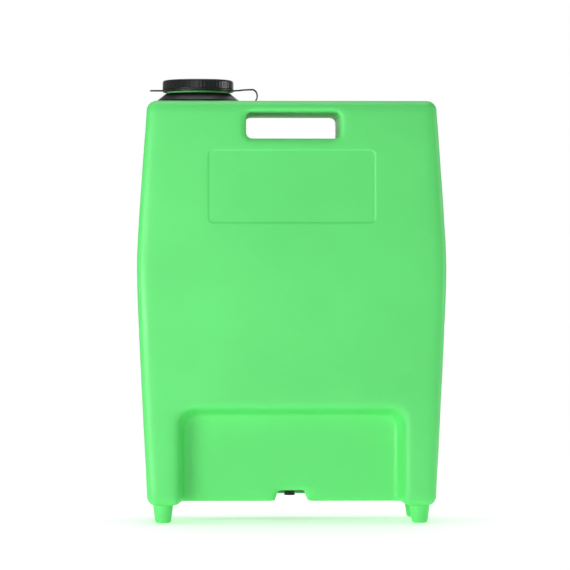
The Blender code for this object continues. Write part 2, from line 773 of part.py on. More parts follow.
def tray_ear(name, side):
    """Hinge ear on a side wall, and the web that ties it to the wall."""
    inner = side * (TRAY_HALF - EAR_WIDTH)
    outer = side * TRAY_HALF
    web_outer = side * (TRAY_HALF - TRAY_WALL / 2)
    ear = rod("ear_" + name, (inner, HINGE_Y, HINGE_HEIGHT), (outer, HINGE_Y, HINGE_HEIGHT), EAR_R)
    web = block("ear_web_" + name, (inner, TRAY_RIM_Y - EAR_WEB_BACK, HINGE_HEIGHT - EAR_R * 0.8),
                (web_outer, HINGE_Y + EAR_R * 1.6, HINGE_HEIGHT + EAR_R * 0.8))
    return ear, web


def make_tray():
    """Basin that folds down, with hinge ears, a window for the valve and a pouring lip."""
    tray = tray_shell("tray", 0, TRAY_RIM_Y)
    cut(tray, tray_shell("tray_inside", TRAY_WALL, TRAY_RIM_Y - GAP))
    for name, side in SIDES.items():
        add(tray, *tray_ear(name, side))
        cut(tray, rod("ear_hole_" + name, (side * (TRAY_HALF - 2 * EAR_WIDTH), HINGE_Y, HINGE_HEIGHT),
                      (side * (TRAY_HALF + PAST), HINGE_Y, HINGE_HEIGHT), BUSH_R + GAP))
        for place, x, z in fixing_places(side):
            cut(tray, rod("%s_hole_%s" % (place, name), (x, FLOOR_Y - PAST, z),
                          (x, TRAY_FACE_Y + PAST, z), RIVET_R + GAP, steps=16))
    cut(tray, block("valve_window", (-VALVE_WINDOW_HALF, TRAY_RIM_Y - PAST, TRAY_LOW - PAST),
                    (VALVE_WINDOW_HALF, HINGE_Y + VALVE_WINDOW_DEPTH, TRAY_LOW + PAST)))
    cut(tray, block("spout", (-SPOUT_HALF, TRAY_RIM_Y - PAST, TRAY_HIGH - PAST),
                    (SPOUT_HALF, TRAY_RIM_Y + SPOUT_DEPTH, TRAY_HIGH + PAST)))
    return show(tray, "green")


def fixing_places(side):
    """Name, X and Z of each fastener through the tray's floor on one side."""
    return [
        ("elbow", side * NOZZLE_X, HINGE_HEIGHT + POST_BELOW),
        ("nozzle", side * NOZZLE_X, NOZZLE_Z),
        ("rivet", side * RIVET_APART / 2, TRAY_HIGH - RIVET_BELOW_RIM),
    ]


def make_hinge_pin(name, side):
    """Headed steel pin through the tray's ear into the tank's socket."""
    inner = TRAY_HALF - EAR_WIDTH - GAP - BUSH_FLANGE_WIDTH - GAP
    outer = BAY_HALF + PIN_SOCKET_DEPTH - GAP
    profile = [(0, outer), (PIN_R, outer), (PIN_R, inner), (PIN_HEAD_R, inner),
               (PIN_HEAD_R, inner - PIN_HEAD_WIDTH * 0.7), (PIN_HEAD_R * 0.8, inner - PIN_HEAD_WIDTH),
               (0, inner - PIN_HEAD_WIDTH)]
    place = (0, HINGE_Y, HINGE_HEIGHT)
    return show(turned("hinge_pin_" + name, profile, place, (side, 0, 0), steps=20), "steel")


def make_bush(name, side):
    """Flanged plastic bush in the tray's ear."""
    inner = TRAY_HALF - EAR_WIDTH - GAP - BUSH_FLANGE_WIDTH
    outer = TRAY_HALF + TRAY_SIDE_ROOM / 2
    bore = PIN_R + GAP
    profile = [(BUSH_R, outer), (BUSH_R, inner + BUSH_FLANGE_WIDTH),
               (BUSH_FLANGE_R, inner + BUSH_FLANGE_WIDTH), (BUSH_FLANGE_R, inner), (bore, inner),
               (bore, outer)]
    place = (0, HINGE_Y, HINGE_HEIGHT)
    return show(turned("tray_bush_" + name, profile, place, (side, 0, 0), steps=20, ring=True), "white")


# ---------------------------------------------------------------- outlet and valve

def outlet_piece(name, profile, kind):
    """Ring turned about the outlet's axis; heights count out of the bay wall."""
    place = (0, BAY_WALL_Y, OUTLET_HEIGHT)
    return show(turned(name, profile, place, (0, 1, 0), ring=True), kind)


def make_outlet_fitting():
    """Flanged tube through the bay wall."""
    seat = GASKET_WIDTH + 2 * GAP
    tail = -(WALL + GAP + LOCKNUT_WIDTH + SHANK_TAIL)
    profile = [(STUB_R, seat + FLANGE_WIDTH + STUB_LENGTH), (STUB_R, seat + FLANGE_WIDTH),
               (FLANGE_R, seat + FLANGE_WIDTH), (FLANGE_R, seat), (SHANK_R, seat), (SHANK_R, tail),
               (OUTLET_BORE_R, tail), (OUTLET_BORE_R, seat + FLANGE_WIDTH + STUB_LENGTH)]
    return outlet_piece("outlet_fitting", profile, "black")


def make_outlet_gasket():
    """Rubber washer under the fitting's flange."""
    bore = SHANK_R + GAP
    profile = [(FLANGE_R, GASKET_WIDTH + GAP), (FLANGE_R, GAP), (bore, GAP), (bore, GASKET_WIDTH + GAP)]
    return outlet_piece("outlet_gasket", profile, "rubber")


def make_outlet_locknut():
    """Hexagonal nut inside the tank."""
    seat = BAY_WALL_Y - WALL - GAP
    inner = seat - LOCKNUT_WIDTH
    nut = rod("outlet_locknut", (0, inner, OUTLET_HEIGHT), (0, seat, OUTLET_HEIGHT), LOCKNUT_R, steps=6)
    cut(nut, rod("locknut_bore", (0, inner - PAST, OUTLET_HEIGHT), (0, seat + PAST, OUTLET_HEIGHT),
                 SHANK_R + GAP, steps=24))
    return show(nut, "black")


def make_strainer():
    """Slotted cup over the fitting's tail that keeps grit out of the valve."""
    start = -(WALL + LOCKNUT_WIDTH + 2 * GAP)
    end = RECESS_WALL_Y + WALL + STRAINER_CLEAR - BAY_WALL_Y
    inner = SHANK_R + GAP
    outer = inner + STRAINER_WALL
    profile = [(outer, start), (outer, end + STRAINER_WALL), (outer - STRAINER_WALL, end), (0, end),
               (0, end + STRAINER_WALL), (inner, end + STRAINER_WALL), (inner, start)]
    place = (0, BAY_WALL_Y, OUTLET_HEIGHT)
    strainer = turned("outlet_strainer", profile, place, (0, 1, 0), ring=True)
    first = start - SHANK_TAIL - 2 * STRAINER_WALL
    last = end + 3 * STRAINER_WALL
    for index in range(2):
        middle = BAY_WALL_Y + first + (last - first) * (index + 0.5) / 2
        half = (first - last) / 2 * 0.35
        cut(strainer, block("strainer_slot_%d" % index,
                            (-2 * outer, middle - half, OUTLET_HEIGHT - STRAINER_SLOT),
                            (2 * outer, middle + half, OUTLET_HEIGHT + STRAINER_SLOT)))
    return show(strainer, "white")


def make_valve_body():
    """Barrel on the hinge axis with an inlet block that seats on the outlet's stub."""
    fitting_face = BAY_WALL_Y + GASKET_WIDTH + 2 * GAP + FLANGE_WIDTH
    back = fitting_face + GAP
    body = rod("valve_body", (-BARREL_HALF, HINGE_Y, HINGE_HEIGHT),
               (BARREL_HALF, HINGE_Y, HINGE_HEIGHT), BARREL_R, steps=28)
    add(body, block("inlet_block", (-INLET_HALF, back, HINGE_HEIGHT - INLET_BELOW),
                    (INLET_HALF, HINGE_Y, OUTLET_HEIGHT + BARREL_R)))
    add(body, rod("keel", (0, HINGE_Y, HINGE_HEIGHT - KEEL_DROP), (0, HINGE_Y, HINGE_HEIGHT - PLUG_R),
                  KEEL_R, steps=16))
    cut(body, rod("barrel_bore", (-BARREL_HALF - PAST, HINGE_Y, HINGE_HEIGHT),
                  (BARREL_HALF + PAST, HINGE_Y, HINGE_HEIGHT), PLUG_R + GAP, steps=28))
    socket_end = fitting_face + STUB_LENGTH + GAP
    cut(body, rod("inlet_socket", (0, back - PAST, OUTLET_HEIGHT), (0, socket_end, OUTLET_HEIGHT),
                  STUB_R + GAP))
    drop_y = socket_end - PORT_R
    cut(body, rod("inlet_drop", (0, drop_y, HINGE_HEIGHT), (0, drop_y, OUTLET_HEIGHT), PORT_R, steps=16))
    cut(body, rod("inlet_port", (0, drop_y, HINGE_HEIGHT), (0, HINGE_Y - PLUG_R / 2, HINGE_HEIGHT),
                  PORT_R, steps=16))
    return show(body, "black")


def make_valve_plug():
    """Hollow plug that turns with the tray; its port faces down, shut off, while the tray is up."""
    profile = [(PLUG_R, PLUG_HALF)]
    for centre in (SEAL_AT, -SEAL_AT):
        profile.append((PLUG_R, centre + SEAL_GROOVE_HALF))
        profile.append((SEAL_GROOVE_R, centre + SEAL_GROOVE_HALF))
        profile.append((SEAL_GROOVE_R, centre - SEAL_GROOVE_HALF))
        profile.append((PLUG_R, centre - SEAL_GROOVE_HALF))
    profile += [(PLUG_R, -PLUG_HALF), (PLUG_BORE_R, -PLUG_HALF), (PLUG_BORE_R, PLUG_HALF)]
    plug = turned("valve_plug", profile, (0, HINGE_Y, HINGE_HEIGHT), (1, 0, 0), ring=True)
    cut(plug, rod("plug_port", (0, HINGE_Y, HINGE_HEIGHT - 2 * PLUG_R), (0, HINGE_Y, HINGE_HEIGHT),
                  PORT_R, steps=16))
    return show(plug, "white")


def make_plug_seal(name, side):
    """O-ring in the plug's groove."""
    middle = (SEAL_GROOVE_R + PLUG_R + GAP) / 2
    profile = []
    for step in range(8):
        angle = -math.tau * step / 8
        profile.append((middle + SEAL_CORD_R * math.cos(angle), SEAL_CORD_R * math.sin(angle)))
    place = (side * SEAL_AT, HINGE_Y, HINGE_HEIGHT)
    return show(turned("plug_seal_" + name, profile, place, (1, 0, 0), ring=True), "rubber")


# ---------------------------------------------------------------- water way on the tray

def make_elbow(name, side):
    """Block that takes water from the plug's end, out to the floor and up to the pipe."""
    near = PLUG_HALF + GAP
    low_x = side * near
    high_x = side * (near + ELBOW_BLOCK)
    elbow = block("supply_elbow_" + name, (low_x, HINGE_Y - ELBOW_HALF, HINGE_HEIGHT - ELBOW_HALF),
                  (high_x, HINGE_Y + ELBOW_HALF, HINGE_HEIGHT + ELBOW_HALF))
    post_low = HINGE_HEIGHT - POST_BELOW
    post_top = HINGE_HEIGHT + POST_ABOVE
    screw_z = HINGE_HEIGHT + POST_BELOW
    turn_z = HINGE_HEIGHT + ELBOW_PASSAGE_R
    centre = side * NOZZLE_X
    turn_x = side * (NOZZLE_X - GAP)
    up_y = PIPE_Y - GAP
    add(elbow, block("post_" + name, (low_x, HINGE_Y, post_low), (high_x, SEAT_Y, post_top)))
    add(elbow, rod("spigot_" + name, (side * (near - SPIGOT_LENGTH), HINGE_Y, HINGE_HEIGHT),
                   (side * (near + SPIGOT_ROOT), HINGE_Y, HINGE_HEIGHT), SPIGOT_R, steps=16))
    cut(elbow, rod("in_" + name, (side * (near - SPIGOT_LENGTH - PAST), HINGE_Y, HINGE_HEIGHT),
                   (centre, HINGE_Y, HINGE_HEIGHT), ELBOW_PASSAGE_R, steps=12))
    cut(elbow, rod("out_" + name, (turn_x, HINGE_Y - GAP, turn_z), (turn_x, PIPE_Y + GAP, turn_z),
                   ELBOW_PASSAGE_R - GAP / 2, steps=14))
    cut(elbow, rod("up_" + name, (centre, up_y, turn_z + GAP), (centre, up_y, post_top + PAST),
                   ELBOW_PASSAGE_R - GAP, steps=14))
    cut(elbow, rod("pipe_socket_" + name, (centre, PIPE_Y, pipe_low() - GAP),
                   (centre, PIPE_Y, post_top + PAST), PIPE_R + GAP, steps=16))
    cut(elbow, rod("elbow_screw_hole_" + name, (centre, SEAT_Y - SCREW_GRIP, screw_z),
                   (centre, SEAT_Y + PAST, screw_z), SCREW_R + GAP, steps=12))
    return show(elbow, "black")


def pipe_low():
    """Height of a supply pipe's lower end, inside its elbow's socket."""
    return HINGE_HEIGHT + POST_ABOVE - PIPE_SEAT


def make_pipe(name, side):
    """Straight tube from the elbow up to the nozzle."""
    low = pipe_low()
    high = NOZZLE_Z - NOZZLE_STEM_R / 2
    profile = [(PIPE_R, high - low), (PIPE_R, 0), (PIPE_BORE_R, 0), (PIPE_BORE_R, high - low)]
    place = (side * NOZZLE_X, PIPE_Y, low)
    return show(turned("supply_pipe_" + name, profile, place, steps=20, ring=True), "white")


def nozzle_profile():
    """Closed stem, flared bowl, ledge for the screen and a bore that ends over the screw."""
    flare = NOZZLE_HEIGHT - NOZZLE_BOWL_HEIGHT
    neck = flare - NOZZLE_FLARE_HEIGHT
    ledge = NOZZLE_HEIGHT - SCREEN_THICK - 3 * GAP
    mouth = NOZZLE_BOWL_R - NOZZLE_RIM_WALL
    seat = mouth - NOZZLE_RIM_WALL
    bottom = SCREW_GRIP + SCREW_POINT
    return [(NOZZLE_BOWL_R - NOZZLE_EDGE, NOZZLE_HEIGHT), (NOZZLE_BOWL_R, NOZZLE_HEIGHT - NOZZLE_EDGE),
            (NOZZLE_BOWL_R, flare), (NOZZLE_STEM_R, neck), (NOZZLE_STEM_R, 0), (0, 0), (0, bottom),
            (PIPE_BORE_R, bottom), (PIPE_BORE_R, neck), (seat, flare), (seat, ledge), (mouth, ledge),
            (mouth, NOZZLE_HEIGHT)]


def make_nozzle(name, side):
    """Stem on the tray's floor with a side socket, a flared bowl and two hinge lugs."""
    centre = side * NOZZLE_X
    nozzle = turned("nozzle_" + name, nozzle_profile(), (centre, SEAT_Y, NOZZLE_Z), (0, -1, 0), ring=True)
    hinge_y = cover_hinge_y()
    hinge_z = NOZZLE_Z + COVER_HINGE_OUT
    root = NOZZLE_Z + NOZZLE_BOWL_R - LUG_SINK
    for index, way in enumerate((-1, 1)):
        near = centre + way * (KNUCKLE_HALF + GAP)
        far = centre + way * (KNUCKLE_HALF + GAP + LUG_WIDTH)
        add(nozzle, block("lug_%s_%d" % (name, index), (near, hinge_y - LUG_CLEAR, root),
                          (far, hinge_y + KNUCKLE_R, hinge_z)))
        add(nozzle, rod("lug_eye_%s_%d" % (name, index), (near, hinge_y, hinge_z),
                        (far, hinge_y, hinge_z), KNUCKLE_R, steps=12))
        cut(nozzle, rod("lug_hole_%s_%d" % (name, index), (near - way * LUG_WIDTH, hinge_y, hinge_z),
                        (far + way * LUG_WIDTH, hinge_y, hinge_z), COVER_PIN_R + GAP, steps=10))
    cut(nozzle, rod("side_socket_" + name, (centre, PIPE_Y, NOZZLE_Z - 2 * NOZZLE_STEM_R),
                    (centre, PIPE_Y, NOZZLE_Z - NOZZLE_STEM_R / 2 + GAP), PIPE_R + GAP, steps=16))
    cut(nozzle, rod("side_bore_" + name, (centre, PIPE_Y, NOZZLE_Z - NOZZLE_STEM_R),
                    (centre, PIPE_Y, NOZZLE_Z - 2 * GAP), PIPE_BORE_R * 0.8, steps=14))
    cut(nozzle, rod("nozzle_screw_hole_" + name, (centre, SEAT_Y - SCREW_GRIP, NOZZLE_Z),
                    (centre, SEAT_Y + PAST, NOZZLE_Z), SCREW_R + GAP, steps=12))
    return show(nozzle, "white")


def make_screen(name, side):
    """Perforated disc that softens the stream."""
    radius = NOZZLE_BOWL_R - NOZZLE_RIM_WALL - GAP
    back = SEAT_Y - NOZZLE_HEIGHT + SCREEN_THICK + 2 * GAP
    centre = Vector((side * NOZZLE_X, back, NOZZLE_Z))
    thick = Vector((0, SCREEN_THICK, 0))
    screen = rod("nozzle_screen_" + name, centre, centre - thick, radius, steps=24)
    places = [Vector((0, 0, 0))]
    for index in range(SCREEN_HOLES):
        angle = math.tau * index / SCREEN_HOLES
        places.append(Vector((SCREEN_RING_R * math.cos(angle), 0, SCREEN_RING_R * math.sin(angle))))
    for index, offset in enumerate(places):
        cut(screen, rod("jet_%s_%d" % (name, index), centre + offset + thick, centre + offset - 2 * thick,
                        SCREEN_HOLE_R, steps=8))
    return show(screen, "green")


def cover_hinge_y():
    """Y of the dust covers' hinge axes."""
    return SEAT_Y - NOZZLE_HEIGHT + COVER_HINGE_BACK


def make_cover(name, side):
    """Dust cover over the nozzle's bowl with one hinge knuckle; its origin is on the hinge axis."""
    hinge_y = cover_hinge_y()
    hinge_z = NOZZLE_Z + COVER_HINGE_OUT
    inside = NOZZLE_HEIGHT + COVER_ROOM
    top = inside + COVER_TOP
    inner = NOZZLE_BOWL_R + GAP
    outer = inner + COVER_WALL
    profile = [(0, top), (outer - COVER_EDGE, top), (outer, top - COVER_EDGE),
               (outer, top - COVER_SKIRT), (inner, top - COVER_SKIRT), (inner, inside), (0, inside)]
    profile = [(radius, height - NOZZLE_HEIGHT + COVER_HINGE_BACK) for radius, height in profile]
    centre = side * NOZZLE_X
    cover = turned("nozzle_cover_" + name, profile, (centre, hinge_y, NOZZLE_Z), (0, -1, 0))
    web_low = NOZZLE_Z + inner + 2 * LUG_CLEAR
    add(cover, block("knuckle_web_" + name, (centre - KNUCKLE_HALF, SEAT_Y - top + LUG_CLEAR, web_low),
                     (centre + KNUCKLE_HALF, hinge_y, hinge_z + KNUCKLE_R * 0.6)))
    add(cover, rod("knuckle_" + name, (centre - KNUCKLE_HALF, hinge_y, hinge_z),
                   (centre + KNUCKLE_HALF, hinge_y, hinge_z), KNUCKLE_R, steps=12))
    cut(cover, rod("knuckle_hole_" + name, (centre - 2 * KNUCKLE_HALF, hinge_y, hinge_z),
                   (centre + 2 * KNUCKLE_HALF, hinge_y, hinge_z), COVER_PIN_R + GAP, steps=10))
    return show(cover, "yellow")


def make_cover_pin(name, side):
    """Steel pin of a dust cover's hinge."""
    half = KNUCKLE_HALF + GAP + LUG_WIDTH + COVER_PIN_TAIL
    centre = side * NOZZLE_X
    hinge_z = NOZZLE_Z + COVER_HINGE_OUT
    pin = rod("cover_pin_" + name, (centre - half, cover_hinge_y(), hinge_z),
              (centre + half, cover_hinge_y(), hinge_z), COVER_PIN_R, steps=12)
    return show(pin, "steel")


# ---------------------------------------------------------------- fasteners and pull tab

def make_screw(name, x, z):
    """Pan-head screw through the tray's floor into the piece that seats on it."""
    head = TRAY_FACE_Y + GAP
    tip = SEAT_Y - SCREW_GRIP + GAP
    profile = [(0, SCREW_HEAD), (SCREW_HEAD_R * 0.6, SCREW_HEAD), (SCREW_HEAD_R, SCREW_HEAD * 0.5),
               (SCREW_HEAD_R, 0), (SCREW_R, 0), (SCREW_R, tip - head + SCREW_POINT),
               (SCREW_R * 0.5, tip - head), (0, tip - head)]
    return show(turned(name, profile, (x, head, z), (0, 1, 0), steps=16), "steel")


def make_rivet(name, x, z):
    """Two-headed rivet that holds the pull tab."""
    outer = TRAY_FACE_Y + 2 * GAP + TAB_PULL_THICK
    inner = SEAT_Y - outer
    profile = [(0, RIVET_HEAD), (RIVET_HEAD_R * 0.6, RIVET_HEAD), (RIVET_HEAD_R, RIVET_HEAD * 0.4),
               (RIVET_HEAD_R, 0), (RIVET_R, 0), (RIVET_R, inner), (RIVET_HEAD_R, inner),
               (RIVET_HEAD_R, inner - RIVET_HEAD), (0, inner - RIVET_HEAD)]
    return show(turned(name, profile, (x, outer, z), (0, 1, 0), steps=16), "steel")


def make_pull_tab():
    """Tab that stands up in front of the finger scoop."""
    back = TRAY_FACE_Y + GAP
    low = TRAY_HIGH - TAB_PULL_LOW
    high = TRAY_HIGH + TAB_PULL_HIGH
    corners = rectangle(TAB_PULL_HALF, low, high, TAB_PULL_ROUND)
    tab = slab("pull_tab", rounded(corners), back, back + TAB_PULL_THICK)
    for name, side in SIDES.items():
        z = TRAY_HIGH - RIVET_BELOW_RIM
        x = side * RIVET_APART / 2
        cut(tab, rod("tab_hole_" + name, (x, back - PAST, z), (x, back + PAST, z), RIVET_R + GAP, steps=16))
    return show(tab, "yellow")


def make_station():
    """Every piece of the station in its place."""
    make_tank()
    make_cap()
    make_cap_gasket()
    make_cap_vent()
    make_tether_collar()
    make_tether_ring()
    make_tether_strap()
    make_outlet_fitting()
    make_outlet_gasket()
    make_outlet_locknut()
    make_strainer()
    make_valve_body()
    make_valve_plug()
    make_tray()
    make_pull_tab()
    for name, side in SIDES.items():
        make_hinge_pin(name, side)
        make_bush(name, side)
        make_plug_seal(name, side)
        make_elbow(name, side)
        make_pipe(name, side)
        make_nozzle(name, side)
        make_screen(name, side)
        make_cover(name, side)
        make_cover_pin(name, side)
        elbow, nozzle, rivet = fixing_places(side)
        make_screw("elbow_screw_" + name, elbow[1], elbow[2])
        make_screw("nozzle_screw_" + name, nozzle[1], nozzle[2])
        make_rivet("pull_rivet_" + name, rivet[1], rivet[2])


clear_scene()
new_collection(STATION)
new_collection("cutters")
make_station()
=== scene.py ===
"""Portable gravity-fed eyewash station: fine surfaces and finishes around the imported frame.

Lengths are in metres.  +X is right of the plain side, -Y out of it, +Z up.
"""
import json
import math

import bmesh
import bpy
import numpy as np
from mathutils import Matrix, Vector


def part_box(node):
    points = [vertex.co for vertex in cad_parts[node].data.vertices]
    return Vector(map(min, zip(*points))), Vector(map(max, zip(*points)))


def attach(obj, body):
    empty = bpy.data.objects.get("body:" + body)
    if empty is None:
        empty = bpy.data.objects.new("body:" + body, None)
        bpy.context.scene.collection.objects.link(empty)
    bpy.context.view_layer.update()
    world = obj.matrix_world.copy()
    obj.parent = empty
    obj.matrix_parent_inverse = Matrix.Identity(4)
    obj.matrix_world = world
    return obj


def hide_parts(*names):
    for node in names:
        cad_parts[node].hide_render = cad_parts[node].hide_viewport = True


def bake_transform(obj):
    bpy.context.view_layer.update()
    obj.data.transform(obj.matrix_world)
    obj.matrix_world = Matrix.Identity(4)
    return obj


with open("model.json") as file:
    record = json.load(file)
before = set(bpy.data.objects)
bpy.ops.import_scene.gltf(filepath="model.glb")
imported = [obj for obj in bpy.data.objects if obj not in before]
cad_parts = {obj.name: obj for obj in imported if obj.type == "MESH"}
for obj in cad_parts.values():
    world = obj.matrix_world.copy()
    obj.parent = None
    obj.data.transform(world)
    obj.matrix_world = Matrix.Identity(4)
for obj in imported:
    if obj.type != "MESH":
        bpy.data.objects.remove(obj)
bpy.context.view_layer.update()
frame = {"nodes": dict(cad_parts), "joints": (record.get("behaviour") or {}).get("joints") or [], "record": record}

import openvdb
from bpy.props import FloatProperty, FloatVectorProperty, IntProperty, PointerProperty
from mathutils import Vector

NODES = frame["nodes"]

bl_info = {
    "name": "Eyewash Station",
    "version": (1, 0, 0),
    "blender": (4, 5, 0),
    "location": "3D View > Sidebar > Eyewash",
    "description": "Builds a portable eyewash station, piece by piece, around its frame",
    "category": "Add Mesh",
}


def node_box(node):
    """Lowest and highest corner of a frame node, as arrays."""
    low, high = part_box(node)
    return np.array(low), np.array(high)


TANK_LOW, TANK_HIGH = node_box("tank")
CAP_LOW, CAP_HIGH = node_box("cap")
COLLAR_LOW, COLLAR_HIGH = node_box("tether_collar")
RING_LOW, RING_HIGH = node_box("tether_ring")
STRAP_HIGH = node_box("tether_strap")[1]
TRAY_LOW, TRAY_HIGH = node_box("tray")
NECK_AXIS = np.array([(CAP_LOW[0] + CAP_HIGH[0]) / 2, (CAP_LOW[1] + CAP_HIGH[1]) / 2, 0.0])
FACE = TANK_HIGH[1]
DECK = COLLAR_LOW[2] - 0.0003
HINGE = np.array([0.0, *next(j["pos_m"] for j in frame["joints"] if j["name"] == "tray_fold")[1:]])


PANEL_LOOPS = (-0.0016, -0.0008, 0, 0.0008, 0.0016, 0.0030, 0.0045, 0.0065, 0.0085)


# ---------------------------------------------------------------- sizes and colours to set

class EyewashLooks(bpy.types.PropertyGroup):
    """Sizes and colours that a user would change."""
    green: FloatVectorProperty(name="Tank green", description="Colour of the moulded tank and tray",
                               subtype="COLOR", size=3, min=0, max=1, default=(0.118, 0.76, 0.176))
    black: FloatVectorProperty(name="Cap black", description="Colour of the cap, collar and strap",
                               subtype="COLOR", size=3, min=0, max=1, default=(0.012, 0.013, 0.013))
    white: FloatVectorProperty(name="Fitting white", description="Colour of the pipes and nozzles",
                               subtype="COLOR", size=3, min=0, max=1, default=(0.78, 0.79, 0.77))
    yellow: FloatVectorProperty(name="Signal yellow",
                                description="Colour of the dust covers and the pull tab",
                                subtype="COLOR", size=3, min=0, max=1, default=(0.90, 0.58, 0.03))
    steel: FloatVectorProperty(name="Steel", description="Colour of the pins, screws and rivets",
                               subtype="COLOR", size=3, min=0, max=1, default=(0.56, 0.57, 0.58))
    tank_edge: FloatProperty(name="Tank edge", description="Radius of the tank's outer edges",
                             unit="LENGTH", default=0.0125, min=0.004, max=0.03)
    belly_softness: FloatProperty(name="Belly softness", description="How softly the two flanks meet",
                                  unit="LENGTH", default=0.0044, min=0.0005, max=0.02)
    mesh_step: FloatProperty(name="Mesh step",
                             description="Spacing of the grid that the tank is worked out on",
                             unit="LENGTH", default=0.0024, min=0.0015, max=0.006)
    cap_ribs: IntProperty(name="Cap ribs", description="Number of grip ribs round the cap",
                          default=60, min=12, max=180)
    rib_depth: FloatProperty(name="Rib depth", description="Depth of the cap's grip ribs",
                             unit="LENGTH", default=0.0002, min=0, max=0.003)
    floor_size: FloatProperty(name="Floor size", description="Side of the pale floor",
                              unit="LENGTH", default=3.6)
    floor_glow: FloatProperty(name="Floor glow", description="Light that comes up through the floor",
                              default=0.45, min=0)
    lamp_power: FloatProperty(name="Lamp power", description="Strength of the main soft lamp",
                              unit="POWER", default=16.0, min=0)
    surround: FloatProperty(name="Surround", description="Strength of the even white light from all round",
                            default=0.24, min=0)


def looks():
    """The settings in use."""
    return bpy.context.scene.eyewash_looks


# ---------------------------------------------------------------- surfaces

def grid_mesh(name, points, wrap_u=False, wrap_v=False):
    """Mesh through a grid of points; each grid square is one quad, and poles are welded."""
    rows, columns = points.shape[:2]
    u = np.arange(rows if wrap_u else rows - 1)[:, None]
    v = np.arange(columns if wrap_v else columns - 1)[None, :]
    next_u = (u + 1) % rows
    next_v = (v + 1) % columns
    corners = (u * columns + v, next_u * columns + v, next_u * columns + next_v, u * columns + next_v)
    quads = np.stack([c + 0 * u + 0 * v for c in corners], axis=-1).reshape(-1, 4)
    return polygon_mesh(name, points.reshape(-1, 3), [quads])


def polygon_mesh(name, points, groups):
    """Mesh from points and arrays of triangles or quads, with doubled points merged."""
    mesh = bpy.data.meshes.new(name)
    loops = np.concatenate([g.reshape(-1) for g in groups]).astype(np.int32)
    sizes = np.concatenate([np.full(len(g), g.shape[1], np.int32) for g in groups])
    starts = np.concatenate([[0], np.cumsum(sizes)[:-1]]).astype(np.int32)
    mesh.vertices.add(len(points))
    mesh.vertices.foreach_set("co", np.ascontiguousarray(points, np.float32).reshape(-1))
    mesh.loops.add(len(loops))
    mesh.loops.foreach_set("vertex_index", loops)
    mesh.polygons.add(len(sizes))
    mesh.polygons.foreach_set("loop_start", starts)
    mesh.polygons.foreach_set("loop_total", sizes)
    mesh.update(calc_edges=True)
    mesh.validate()
    weld(mesh)
    mesh.shade_smooth()
    piece = bpy.data.objects.new(name, mesh)
    bpy.context.scene.collection.objects.link(piece)
    return piece


def weld(mesh):
    """Merge points that lie together and turn every face outwards."""
    shape = bmesh.new()
    shape.from_mesh(mesh)
    bmesh.ops.remove_doubles(shape, verts=shape.verts, dist=0.000004)
    bmesh.ops.recalc_face_normals(shape, faces=shape.faces)
    shape.to_mesh(mesh)
    shape.free()


def filleted(corners, closed=False, steps=6):
    """Path through (a, b, radius) corners, each replaced by an arc tangent to both its sides."""
    path = []
    count = len(corners)
    for index, (a, b, radius) in enumerate(corners):
        corner = np.array([a, b], float)
        if radius <= 0 or (not closed and index in (0, count - 1)):
            path.append(corner)
            continue
        back = np.array(corners[index - 1][:2]) - corner
        onward = np.array(corners[(index + 1) % count][:2]) - corner
        back /= np.linalg.norm(back)
        onward /= np.linalg.norm(onward)
        opening = math.acos(max(-1.0, min(1.0, float(back @ onward))))
        middle = (back + onward) / np.linalg.norm(back + onward)
        centre = corner + middle * radius / math.sin(opening / 2)
        start = corner + back * radius / math.tan(opening / 2) - centre
        end = corner + onward * radius / math.tan(opening / 2) - centre
        share = np.linspace(0, 1, steps + 1)[:, None]
        turn = math.pi - opening
        arc = (np.sin((1 - share) * turn) * start + np.sin(share * turn) * end) / math.sin(turn)
        path.extend(centre + arc)
    return np.array(path)


def resample(path, spacing):
    """Extra points on long stretches, so that no step is longer than the spacing."""
    pieces = []
    for first, second in zip(path[:-1], path[1:]):
        count = max(1, int(np.linalg.norm(second - first) / spacing))
        pieces.append(first + (second - first) * (np.arange(count) / count)[:, None])
    pieces.append(path[-1:])
    return np.concatenate(pieces)


def frame_of(direction):
    """Two unit vectors square to a direction, and the direction."""
    axis = np.array(direction, float)
    axis /= np.linalg.norm(axis)
    helper = np.array([0.0, 0, 1]) if abs(axis[2]) < 0.9 else np.array([1.0, 0, 0])
    side = np.cross(helper, axis)
    side /= np.linalg.norm(side)
    return side, np.cross(axis, side), axis


def lathe(name, profile, base, direction=(0, 0, 1), steps=96, closed=True, ripple=None):
    """Turn a (radius, height) profile round an axis.

    Each point is base + r (cos t side + sin t up) + h axis, and the ripple adds to r.
    """
    side, up, axis = frame_of(direction)
    angle = (np.arange(steps) * math.tau / steps)[:, None]
    radius = np.repeat(profile[None, :, 0], steps, axis=0)
    height = np.repeat(profile[None, :, 1], steps, axis=0)
    if ripple is not None:
        radius = radius + ripple(angle, radius, height)
    points = (np.array(base, float) + radius[..., None] * (np.cos(angle)[..., None] * side
              + np.sin(angle)[..., None] * up) + height[..., None] * axis)
    return grid_mesh(name, points, wrap_u=True, wrap_v=closed)


def join(name, pieces):
    """One mesh object from several."""
    bpy.ops.object.select_all(action="DESELECT")
    for piece in pieces:
        piece.select_set(True)
    bpy.context.view_layer.objects.active = pieces[0]
    bpy.ops.object.join()
    pieces[0].name = name
    pieces[0].data.name = name
    return pieces[0]


# ---------------------------------------------------------------- the tank as an implicit form

def meet(one, two, radius):
    """Inside of both forms, with the edge between them rounded to a radius."""
    over_one = np.maximum(one + radius, 0)
    over_two = np.maximum(two + radius, 0)
    return np.minimum(-radius, np.maximum(one, two)) + np.sqrt(over_one ** 2 + over_two ** 2)


def take(body, cutter, radius):
    """Body less cutter, with the new edge rounded to a radius."""
    return meet(body, -cutter, radius)


def ease(value):
    """Smooth step from 0 to 1."""
    value = np.clip(value, 0, 1)
    return value * value * (3 - 2 * value)


